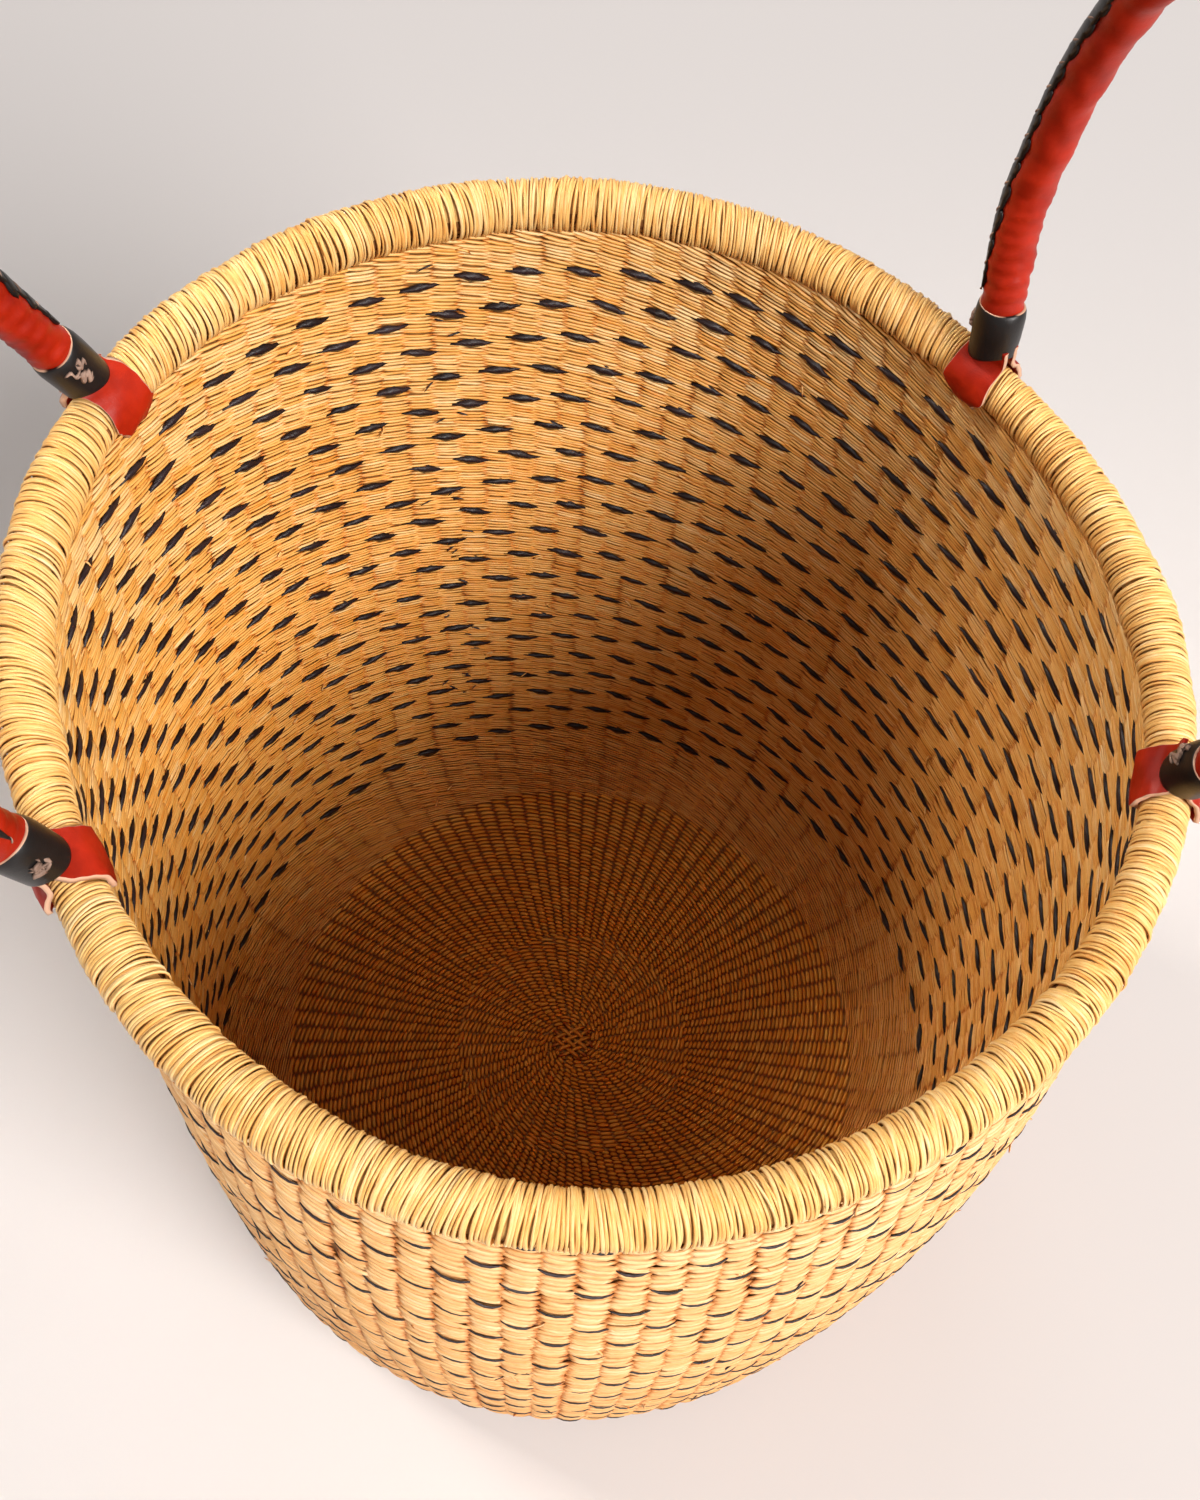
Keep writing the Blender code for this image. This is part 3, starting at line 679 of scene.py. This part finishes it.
def make_wall_stitches(rows):
    """Make the stitches of both faces of the wall, with the dark dashes apart."""
    for face, side, style, dash_style, mat, bands in (
        (-1, "inside", INSIDE, INSIDE_DASH, STRAW, 4),
        (1, "outside", OUTSIDE, OUTSIDE_DASH, OUTSIDE_STRAW, 2),
    ):
        plain, dark = wall_cells(rows, face)
        for band, cells in enumerate(np.array_split(plain, bands), start=1):
            stitches(f"{side}_stitches_{band}", cells, style, face, mat)
        if face > 0:
            behind = dark - np.array([0, 0.0007, 0, 0, 0])
            stitches("outside_stitches_3", behind, style, face, mat)
            dark = dark + np.array([0, 0.0008, 0, 0, 0])
        stitches(f"{side}_dark_dashes", dark, dash_style, face, DARK_STRAW)


def stakes_at(radius):
    """Number of stakes across the floor at one radius."""
    for count, limit in FLOOR_STAKES:
        if radius < limit:
            return count
    return STAKES


def make_floor_stitches(rows):
    """Make the rows of stitches on the floor's upper and lower face."""
    for face, side, style, mat in (
        (-1, "floor", FLOOR_INSIDE, SHADED_FLOOR_STRAW),
        (1, "underside", FLOOR_UNDER, OUTSIDE_STRAW),
    ):
        cells = []
        for number in np.flatnonzero(rows >= FLOOR_START + 0.001)[:-1]:
            radius = radius_at(rows[number])
            count = stakes_at(radius)
            turn = np.arange(count) * math.tau / count + rng.normal(0, 0.05 / count, count)
            length = rows[number] + rng.normal(0, 0.0001, count)
            pitch = np.full(count, math.tau * radius / count)
            row_pitch = np.full(count, rows[number + 1] - rows[number])
            middle = 0.40 + 0.30 * (radius / FLOOR_RADIUS) ** 2
            tone = np.clip(middle + 0.16 * rng.normal(size=count), 0, 1)
            cells.append(np.stack([turn, length, pitch, row_pitch, tone], axis=1))
        stitches(f"{side}_stitches", np.concatenate(cells), style, face, mat)


def loose_ends(name, count, lengths, face, mat, turn=None):
    """Make short straw ends that stick out of the weave."""
    t = np.linspace(0, 1, 6)[None, :]
    start = (rng.random((count, 1)) * math.tau) if turn is None else turn
    low, high = lengths
    down = low + (high - low) * rng.random((count, 1))
    reach = 0.0035 + 0.0045 * rng.random((count, 1))
    spread = 0.9 if turn is None else 0.25
    heading = rng.normal(0, spread, (count, 1)) + rng.choice([0.0, math.pi], (count, 1))
    bend = rng.normal(0, 0.55 * spread, (count, 1))
    angle = heading + bend * t
    turns = start + t * reach * np.cos(angle) / radius_at(down)
    places = down + t * reach * np.sin(angle)
    lift = 0.0026 + (0.0006 + 0.0018 * rng.random((count, 1))) * t
    wide = (0.0005 + 0.0004 * rng.random((count, 1))) * (1 - 0.35 * t)
    drop = 0.8 * wide
    tone = np.clip(0.75 + 0.2 * rng.normal(size=count), 0, 1)
    return wall_strands(name, turns, places, lift, wide, drop, tone, face, mat)


def make_loose_ends(rows):
    """Make the straw ends that show on both faces and at the splice of the dark weft."""
    first, last = rows[0], FLOOR_START
    loose_ends("outside_loose_ends", 260, (first, last), 1, OUTSIDE_STRAW)
    loose_ends("inside_loose_ends", 90, (first, last), -1, STRAW)
    loose_ends("outside_dark_ends", 40, (first, last), 1, DARK_STRAW)
    splice = SPLICE_TURN + rng.normal(0, 0.03, (32, 1))
    loose_ends("inside_dark_ends", 32, (first, last - 0.03), -1, DARK_STRAW, splice)


def smooth_noise(count, width, size):
    """Random values round a ring, smoothed over a number of neighbours."""
    values = rng.normal(size=count)
    reach = int(width * 3)
    weights = np.exp(-0.5 * (np.arange(-reach, reach + 1) / width) ** 2)
    wrapped = np.concatenate([values[-reach:], values, values[:reach]])
    smooth = np.convolve(wrapped, weights, "valid")
    return size * smooth / smooth.std()


def pressed_by_straps(turn):
    """How much the straps press the rim in at an angle, from 0 to 1."""
    pressed = np.zeros_like(turn)
    for facts in SIDES.values():
        for degrees in facts["angles"]:
            away = np.abs((turn - math.radians(degrees) + math.pi) % math.tau - math.pi)
            pressed = np.maximum(pressed, np.exp(-(away / PRESSED_ANGLE) ** 2))
    return pressed


def make_rim():
    """Make the rim: straw wound round the roll, each turn starting where the last one ends."""
    count = RIM_TURNS
    phi = np.radians(np.linspace(-118, 242, 26))[None, :]
    share = np.linspace(0, 1, 26)[None, :] - 0.5
    pitch = math.tau * RIM_RADIUS / count
    lean = (smooth_noise(count, 9, 0.0012) + rng.normal(0, 0.00036, count))[:, None]
    start = np.arange(count)[:, None] * pitch + rng.normal(0, 0.00012, (count, 1))
    second = rng.normal(0, 0.00022, (count, 1))
    along = start + share * pitch + lean * np.sin(phi - 1.57) + second * np.sin(2 * phi)
    wide = RIM_STRAW_HALF_WIDTH * np.clip(1 + 0.18 * rng.normal(size=(count, 1)), 0.7, 1.4)
    wide = wide * (1 + 0.12 * np.sin(3 * phi + lean * 4000))
    lump = smooth_noise(count, 6, 0.00022) + smooth_noise(count, 30, 0.00030)
    lump = lump[:, None] + rng.normal(0, 0.00022, (count, 1))
    pressed = pressed_by_straps(start / RIM_RADIUS)
    reach = RIM_ROLL_RADIUS + 0.0001 + lump * (1 - 0.85 * pressed) - PRESSED_DEPTH * pressed
    reach = reach + 0.00012 * np.sin(4 * phi + lean * 3000)
    points = []
    for across, sink in ((-1.0, 0.0007), (-0.38, 0.00010), (0.30, 0.0), (1.0, 0.0007)):
        turn = (along + across * wide) / RIM_RADIUS
        lift = reach - sink
        points.append(handmade(turn, RIM_RADIUS + lift * np.cos(phi), RIM_HEIGHT + lift * np.sin(phi)))
    grid = np.stack(points, axis=2)
    middle = grid.mean(axis=2)
    tone = np.clip(0.6 + 0.17 * rng.normal(size=count) + smooth_noise(count, 8, 0.08), 0, 1)
    crown = np.array([0.0, 0.9, 1.0, 0.0])
    tips = (middle[:, 0], middle[:, -1])
    rim = strands("rim_turns", grid[:, 1:-1], tips, crown, tone, RIM_STRAW)
    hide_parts("rim_wrapping")


def make_rim_bundle():
    """Make the bundle of stake ends that shows between the turns of the rim."""
    around, phi = np.meshgrid(np.arange(360) * math.tau / 360, np.radians(np.linspace(-105, 235, 33)))
    grids = []
    for depth in RIM_BUNDLE_DEPTHS:
        reach = RIM_ROLL_RADIUS - depth
        grids.append(handmade(around, RIM_RADIUS + reach * np.cos(phi), RIM_HEIGHT + reach * np.sin(phi)))
    shell("rim_bundle", grids[0], grids[1], 1.0, RIM_UNDER, "woven_grass", "basket", True)


def make_centre_knot():
    """Make the plaited start of the floor: two crossing bands of four straws."""
    t = np.linspace(-1, 1, 9)
    grids = []
    for band, heading in enumerate((PLAIT_ANGLE, -PLAIT_ANGLE)):
        for place in range(4):
            offset = (place - 1.5) * PLAIT_PITCH
            reach = PLAIT_REACH - 0.0016 * abs(place - 1.5)
            weave = np.cos(t * 2.2 * math.pi + math.pi * (place + band)) * 0.0012
            along = t * reach
            x = along * math.cos(heading) - offset * math.sin(heading)
            y = along * math.sin(heading) + offset * math.cos(heading)
            z = WALL_THICKNESS + 0.0013 + weave - 0.0016 * t ** 4
            wide = PLAIT_HALF_WIDTH * (1 - 0.5 * t ** 4)
            ring = []
            for across, sink in ((-1, 0.0011), (0, 0.0), (1, 0.0011)):
                side_x = x - across * wide * math.sin(heading)
                side_y = y + across * wide * math.cos(heading)
                ring.append(np.stack([side_x, side_y, z - sink], axis=-1))
            grids.append(np.stack(ring, axis=1))
    grid = np.stack(grids)
    tips = (grid[:, 0].mean(axis=1) - (0, 0, 0.0006), grid[:, -1].mean(axis=1) - (0, 0, 0.0006))
    tone = np.clip(0.4 + 0.15 * rng.normal(size=len(grid)), 0, 1)
    knot = strands("centre_knot", grid[:, 1:-1], tips, np.array([0.0, 1.0, 0.0]), tone, SHADED_FLOOR_STRAW)
    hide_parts("floor_center_cross")


def arch_line(side):
    """Centre line of a handle: lengths, points and directions, with its plane's normal."""
    joint = next(item for item in frame["joints"] if item["child"] == side + "_handle")
    middle = np.array(joint["pos_m"])
    axis = np.array(joint["axis"]) / np.linalg.norm(joint["axis"])
    corners = np.array([vert.co for vert in frame["nodes"][side + "_handle_cover"].data.vertices])
    up = corners.mean(axis=0) - middle
    up -= axis * (up @ axis)
    up /= np.linalg.norm(up)
    ends = handmade(np.radians(SIDES[side]["angles"]), RIM_RADIUS, RIM_HEIGHT + np.zeros(2))
    half_span = np.linalg.norm(ends[1] - ends[0]) / 2
    half_width = SIDES[side]["half_width"]
    height = np.linspace(0, ARCH_SPRING, 60)[:-1]
    flare = (1 - np.cos(math.pi * np.minimum(height / LEG_FLARE, 1))) / 2
    across = -half_span + (half_span - half_width) * flare
    turn = np.linspace(math.pi, 0, 181)
    top_across = half_width * np.cos(turn)
    top_height = ARCH_SPRING + (HANDLE_TOP - ARCH_SPRING) * np.sin(turn)
    across = np.concatenate([across, top_across, -across[::-1]])
    height = np.concatenate([height, top_height, height[::-1]])
    points = middle + across[:, None] * axis + height[:, None] * up
    lengths = np.concatenate([[0], np.cumsum(np.linalg.norm(np.diff(points, axis=0), axis=1))])
    along = np.gradient(points, axis=0)
    along /= np.linalg.norm(along, axis=1)[:, None]
    return {"lengths": lengths, "points": points, "along": along, "normal": np.cross(axis, up), "up": up}


ARCHES = {side: arch_line(side) for side in SIDES}


def on_line(arch, part, length):
    """Points or directions of a handle's centre line at a length along it."""
    return np.stack([np.interp(length, arch["lengths"], column) for column in arch[part].T], axis=-1)


def on_tube(arch, length, angle, radius):
    """Points round a handle at a length along it; angle 0 faces into the basket."""
    centre = on_line(arch, "points", length)
    along = on_line(arch, "along", length)
    outward = np.cross(arch["normal"], along)
    outward /= np.linalg.norm(outward, axis=-1)[..., None]
    radial = np.sin(angle)[..., None] * outward - np.cos(angle)[..., None] * arch["normal"]
    return centre + np.asarray(radius)[..., None] * radial


def saddle_length(angle, radius):
    """How far up the leg the strap's room ends, at an angle round the leg."""
    return np.sqrt(SADDLE_RADIUS ** 2 - (radius * np.cos(angle)) ** 2)


def scraps(arch, length, angle, rise, half, sink):
    """Points of scraps that lie on a handle; half is the half width along the handle and round it."""
    points = []
    for across, depth in ((-1.0, sink), (-0.4, 0.0), (0.4, 0.0), (1.0, sink)):
        side_length = length + across * half[0]
        side_angle = angle - across * half[1] / HANDLE_RADIUS
        points.append(on_tube(arch, side_length, side_angle, rise - depth))
    return np.stack(points, axis=2)


def leather_scraps(name, grid, mat, body):
    """Make closed scraps of leather from their points."""
    tips = (grid[:, 0].mean(axis=1), grid[:, -1].mean(axis=1))
    crown = np.array([0.0, 1.0, 1.0, 0.0])
    return strands(name, grid[:, 1:-1], tips, crown, np.zeros(len(grid)), mat, body)


def make_cover(side):
    """Make one handle's red leather tube, lumpy with wrinkles near both ends."""
    arch = ARCHES[side]
    total = arch["lengths"][-1]
    share = np.linspace(0, 1, 460)[:, None]
    angle = np.arange(26)[None, :] * math.tau / 26
    start = saddle_length(angle, HANDLE_RADIUS)
    length = start + (total - 2 * start) * share
    from_end = np.minimum(length, total - length)
    phase = 1.7 * np.sin(2 * angle + 31 * length) + 0.9 * np.sin(3 * angle - 60 * length)
    lumps = 0.00022 * np.sin(length * 420 + phase) + 0.00022 * np.sin(length * 233 - 2 * angle + 1.3)
    near = np.exp(-((from_end - CUFF_TOP) / 0.045) ** 2)
    bent = 1.3 * np.sin(angle + 4 * length) + 0.8 * np.sin(3 * angle)
    wrinkles = 0.00028 * near * np.sin(length * 1150 + bent)
    fine = 0.00006 * np.sin(length * 2100 + 5 * np.sin(angle * 2 + 90 * length))
    outer = on_tube(arch, length, angle + 0 * length, HANDLE_RADIUS + lumps + wrinkles + fine)
    inner = on_tube(arch, length, angle + 0 * length, np.full(length.shape, HANDLE_BORE))
    wear_and_shade = np.zeros(length.shape)
    cover = shell(side + "_handle_leather", outer, inner, wear_and_shade, RED, "red_leather", side + "_handle", True)
    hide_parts(side + "_handle_cover")


def make_cuff(side, end, place):
    """Make one black cuff with its raw top edge."""
    arch = ARCHES[side]
    total = arch["lengths"][-1]
    outer_radius = HANDLE_RADIUS + CUFF_THICKNESS
    share = np.array([0, 0.04, 0.2, 0.4, 0.6, 0.8, 0.93, 0.975, 1.0])[:, None]
    angle = np.arange(40)[None, :] * math.tau / 40
    start = saddle_length(angle, outer_radius)
    stop = CUFF_TOP + 0.0009 * np.sin(angle + 0.6) + 0.0005 * np.sin(2 * angle)
    length = start + (stop - start) * share
    bulge = share * (0.0004 * np.sin(math.pi * share) + 0.00015 * np.sin(3 * angle + 250 * length))
    flare = -0.0007 * np.maximum(share - 0.9, 0) * 10 - 0.0003 * (1 - share) ** 2
    seen = total - length if place else length
    outer = on_tube(arch, seen, angle + 0 * length, outer_radius + bulge + flare)
    inner = on_tube(arch, seen, angle + 0 * length, np.full(length.shape, HANDLE_RADIUS - 0.0006))
    wear_and_shade = np.where(share > 0.99, 0.75 + 0.35 * np.sin(2 * angle + 1.0) + 0.2 * np.sin(5 * angle), 0.0)
    name = f"{side}_{end}"
    cuff = shell(name + "_cuff_leather", outer, inner, wear_and_shade, BLACK, "black_leather", side + "_handle", True)
    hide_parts(name + "_cuff")


def lacing_angle(length):
    """Angle at which the lacing runs along the handle, swaying a little."""
    return LACING_ANGLE + 0.05 * np.sin(length * 55)


def make_lacing_strip(side):
    """Make the black strip with ragged edges that runs along one handle."""
    arch = ARCHES[side]
    first = LACING_START - 0.006
    run = np.linspace(first, arch["lengths"][-1] - first, 300)[:, None]
    taper = np.clip(np.minimum(run - run[0], run[-1] - run) / 0.030, 0, 1) ** 0.7
    ragged = 1 + 0.18 * np.sin(run * 640) + 0.08 * np.sin(run * 1510 + 1)
    across = np.linspace(-1, 1, 5)[None, :]
    angle = lacing_angle(run) + across * (0.00015 + 0.0024 * taper * ragged) / HANDLE_RADIUS
    sheets = []
    for lift in (0.0009, -0.0005):
        sheets.append(on_tube(arch, run + 0 * across, angle, HANDLE_RADIUS + lift + 0 * angle))
    shell(side + "_lacing_strip", *sheets, 0.0, BLACK, "black_leather", side + "_handle", False)


def make_lacing(side):
    """Make the overlapping lobes of the black lacing and the slivers of raw edge on them."""
    arch = ARCHES[side]
    start = LACING_START
    total = arch["lengths"][-1]
    count = int((total - 2 * start) / LACING_PITCH)
    middle = np.linspace(start, total - start, count)[:, None]
    from_end = np.minimum(middle - start, total - start - middle)
    size = np.clip(0.35 + from_end / 0.03, 0, 1)
    t = np.linspace(-1, 1, 11)[None, :]
    parts = (
        ("lobes", 0.0082, 0.0036, 0.0036, 0.0008, BLACK, "black_leather", 0.0),
        ("slivers", 0.0046, 0.0021, 0.0005, 0.0010, TAN, "tan_leather", 0.0062),
    )
    for part, reach, spread, wide, lift, mat, slot, shift in parts:
        length = middle + shift + t * reach * 0.62 * size
        angle = lacing_angle(middle) + t * spread * size / HANDLE_RADIUS
        half = wide * size * (1 - np.abs(t) ** 2.2) ** 0.7
        rise = HANDLE_RADIUS + 0.0003 + lift * (1 - 0.6 * t ** 2)
        grid = scraps(arch, length, angle, rise, (half * 0.72, half * 0.70), 0.0007)
        piece = leather_scraps(f"{side}_lacing_{part}", grid, mat, side + "_handle")
        if part == "lobes":
            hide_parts(side + "_handle_lacing")


def make_knot(side, end, place):
    """Make the crumpled tan scrap of leather on one cuff."""
    arch = ARCHES[side]
    total = arch["lengths"][-1]
    count = 7
    t = np.linspace(-1, 1, 9)[None, :]
    turned = math.radians(-45 if place else 45)
    angle_middle = -turned + rng.normal(0, 0.14, (count, 1))
    length_middle = KNOT_HEIGHT + rng.normal(0, 0.0016, (count, 1))
    heading = rng.random((count, 1)) * math.pi
    reach = 0.0019 + 0.0012 * rng.random((count, 1))
    curl = 0.0008 * np.sin(t * 4 + rng.random((count, 1)) * 6)
    length = length_middle + t * reach * np.cos(heading) + curl
    angle = angle_middle + (t * reach * np.sin(heading) + curl) / (HANDLE_RADIUS + CUFF_THICKNESS)
    half = (0.0008 + 0.0006 * rng.random((count, 1))) * (1 - np.abs(t) ** 3) ** 0.7
    rise = HANDLE_RADIUS + CUFF_THICKNESS + 0.0007 + 0.0006 * rng.random((count, 1))
    rise = rise + 0.0004 * np.cos(t * 3)
    seen = total - length if place else length
    grid = scraps(arch, seen, angle, rise, (half * np.sin(heading), half * np.cos(heading)), 0.0008)
    name = f"{side}_{end}"
    knot = leather_scraps(name + "_tied_scrap", grid, TAN, side + "_handle")
    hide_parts(name + "_knot")


def near_rim(degrees, outward, along, up):
    """Points given outwards, along and up from the rim's centre line at one angle."""
    radius = np.hypot(RIM_RADIUS + outward, along)
    turn = math.radians(degrees) + np.arctan2(along, RIM_RADIUS + outward)
    return handmade(turn, radius, RIM_HEIGHT + up)


def strap_path(lean, steps):
    """The strap's middle line seen along the rim: down the neck, round the roll and up again."""
    neck = np.linspace(NECK_TOP, NECK_FOOT, 8)
    down = np.stack([np.full(8, NECK_HALF_GAP), neck], axis=1)
    turn = np.radians(np.linspace(62, -242, 90))
    ring = STRAP_MIDDLE_RADIUS * np.stack([np.cos(turn), np.sin(turn)], axis=1)
    line = np.concatenate([down, ring, down[::-1] * (-1, 1)])
    for _ in range(3):
        line[1:-1] = (line[:-2] + 2 * line[1:-1] + line[2:]) / 4
    walked_length = np.concatenate([[0], np.cumsum(np.linalg.norm(np.diff(line, axis=0), axis=1))])
    even = np.linspace(0, walked_length[-1], steps)
    line = np.stack([np.interp(even, walked_length, line[:, axis]) for axis in range(2)], axis=1)
    turned = np.array([[math.cos(lean), math.sin(lean)], [-math.sin(lean), math.cos(lean)]])
    return line @ turned.T


def make_strap(side, end, degrees):
    """Make one red strap round the rim, wide on top and narrow through the wall, with its neck."""
    arch = ARCHES[side]
    turn = math.radians(degrees)
    outward = np.array([math.cos(turn), math.sin(turn), 0.0])
    lean = math.atan2(arch["up"] @ outward, arch["up"][2])
    line = strap_path(lean, 84)
    along = np.gradient(line, axis=0)
    along /= np.linalg.norm(along, axis=1)[:, None]
    normal = np.stack([along[:, 1], -along[:, 0]], axis=1)
    height = line[:, 1]
    flare = 1 + 0.10 * np.exp(-((height - 0.001) / 0.004) ** 2)
    neck = np.clip((np.hypot(*line.T) - 0.0115) / 0.008, 0, 1)
    half_top = STRAP_WIDTH / 2 * (flare - 0.16 * neck)
    taper = np.clip((-0.0010 - height) / 0.0052, 0, 1)
    half = half_top + (STRAP_TIP_WIDTH / 2 - half_top) * taper
    across = np.array([-1, -0.97, -0.7, -0.35, 0, 0.35, 0.7, 0.97, 1.0])
    curl = 0.0005 * np.abs(across) ** 3 * (1 - taper[:, None])
    steps = np.arange(84)[:, None]
    crease = 0.00022 * np.sin(steps * 0.55 + 3 * across) + 0.00014 * np.sin(steps * 1.3 - 5 * across)
    tangent = np.array([-math.sin(turn), math.cos(turn), 0.0])
    sideways = arch["up"] @ tangent
    shear = sideways / math.sqrt(1 - sideways ** 2)
    sheets = []
    for layer in (1, -1):
        lift = layer * STRAP_THICKNESS / 2 + curl + crease
        x = line[:, :1] + normal[:, :1] * lift
        z = line[:, 1:] + normal[:, 1:] * lift
        above = np.hypot(x, z) * (z > 0)
        rise = np.clip((above - 0.0100) / 0.0040, 0, 1)
        y = half[:, None] * across + shear * above * rise ** 2 * (3 - 2 * rise)
        sheets.append(near_rim(degrees, x, y, z))
    wear_and_shade = np.where(np.abs(across) > 0.99, 1.0, 0.0)[None, :] + 0 * steps
    name = f"{side}_{end}_strap"
    strap = shell(name + "_leather", sheets[0], sheets[1], wear_and_shade, RED, "red_leather", None, False)
    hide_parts(name)
    rim = near_rim(degrees, 0.0, 0.0, 0.0)
    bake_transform(strap)


def make_leather():
    """Make all leather pieces of both handles."""
    for side, facts in SIDES.items():
        make_cover(side)
        make_lacing_strip(side)
        make_lacing(side)
        for place, (end, degrees) in enumerate(zip(facts["ends"], facts["angles"])):
            make_cuff(side, end, place)
            make_knot(side, end, place)
            make_strap(side, end, degrees)


def paint_cad():
    """Give the CAD nodes that are still shown their material."""
    for name, item in frame["nodes"].items():
        item.data.materials.clear()
        item.data.materials.append(SHADED_UNDER_STRAW)


def make_floor():
    """Make the pale studio floor."""
    bpy.ops.mesh.primitive_plane_add(size=80, location=(0, 0, 0))
    floor = bpy.context.object
    floor.name = "studio_floor"
    mat, _, shader = new_material("studio_floor", 0.9)
    shader.inputs["Base Color"].default_value = (0.62, 0.592, 0.582, 1)
    floor.data.materials.append(mat)


def make_lights():
    """Make the soft room light and the lamps."""
    world = bpy.data.worlds.new("studio")
    bpy.context.scene.world = world
    world.use_nodes = True
    background = world.node_tree.nodes["Background"]
    background.inputs["Color"].default_value = (1.0, 0.96, 0.93, 1)
    background.inputs["Strength"].default_value = 0.27
    # Name, place, size, power, spread in degrees and colour of each lamp
    lamps = (
        ("key", (3.55, -2.82, 3.94), 2.8, 515.0, 180, (1.0, 0.965, 0.94)),
        ("bounce", (-1.45, 0.45, 2.0), 0.5, 1.3, 32, (1.0, 0.95, 0.88)),
        ("fill", (-0.3, -0.4, 2.5), 2.0, 8.0, 180, (1.0, 0.98, 0.96)),
        ("behind", (-0.35, 1.9, 1.25), 1.0, 7.0, 180, (1.0, 0.97, 0.96)),
    )
    for name, place, size, power, spread, colour in lamps:
        data = bpy.data.lights.new(name, "AREA")
        data.size = size
        data.energy = power
        data.spread = math.radians(spread)
        data.color = colour
        lamp = bpy.data.objects.new(name, data)
        lamp.location = place
        lamp.rotation_euler = (Vector((0, 0, 0.25)) - Vector(place)).to_track_quat("-Z", "Y").to_euler()
        bpy.context.scene.collection.objects.link(lamp)


def make_camera():
    """Make the camera at the photograph's viewing angle."""
    matrix = Matrix.Identity(4)
    for axis in range(3):
        matrix[axis][0] = CAMERA_RIGHT[axis]
        matrix[axis][1] = -CAMERA_DOWN[axis]
        matrix[axis][2] = -CAMERA_AHEAD[axis]
    matrix.translation = CAMERA_PLACE
    data = bpy.data.cameras.new("camera")
    data.sensor_width = CAMERA_SENSOR
    data.lens = CAMERA_LENS
    data.clip_start = 0.01
    camera = bpy.data.objects.new("camera", data)
    bpy.context.scene.collection.objects.link(camera)
    camera.matrix_world = matrix
    bpy.context.scene.camera = camera
    bpy.context.scene.view_settings.view_transform = "Standard"


ROWS = row_lengths()
make_core()
make_wall_stitches(ROWS)
make_floor_stitches(ROWS)
make_loose_ends(ROWS)
make_rim()
make_rim_bundle()
make_centre_knot()
make_leather()
paint_cad()
make_floor()
make_lights()
make_camera()
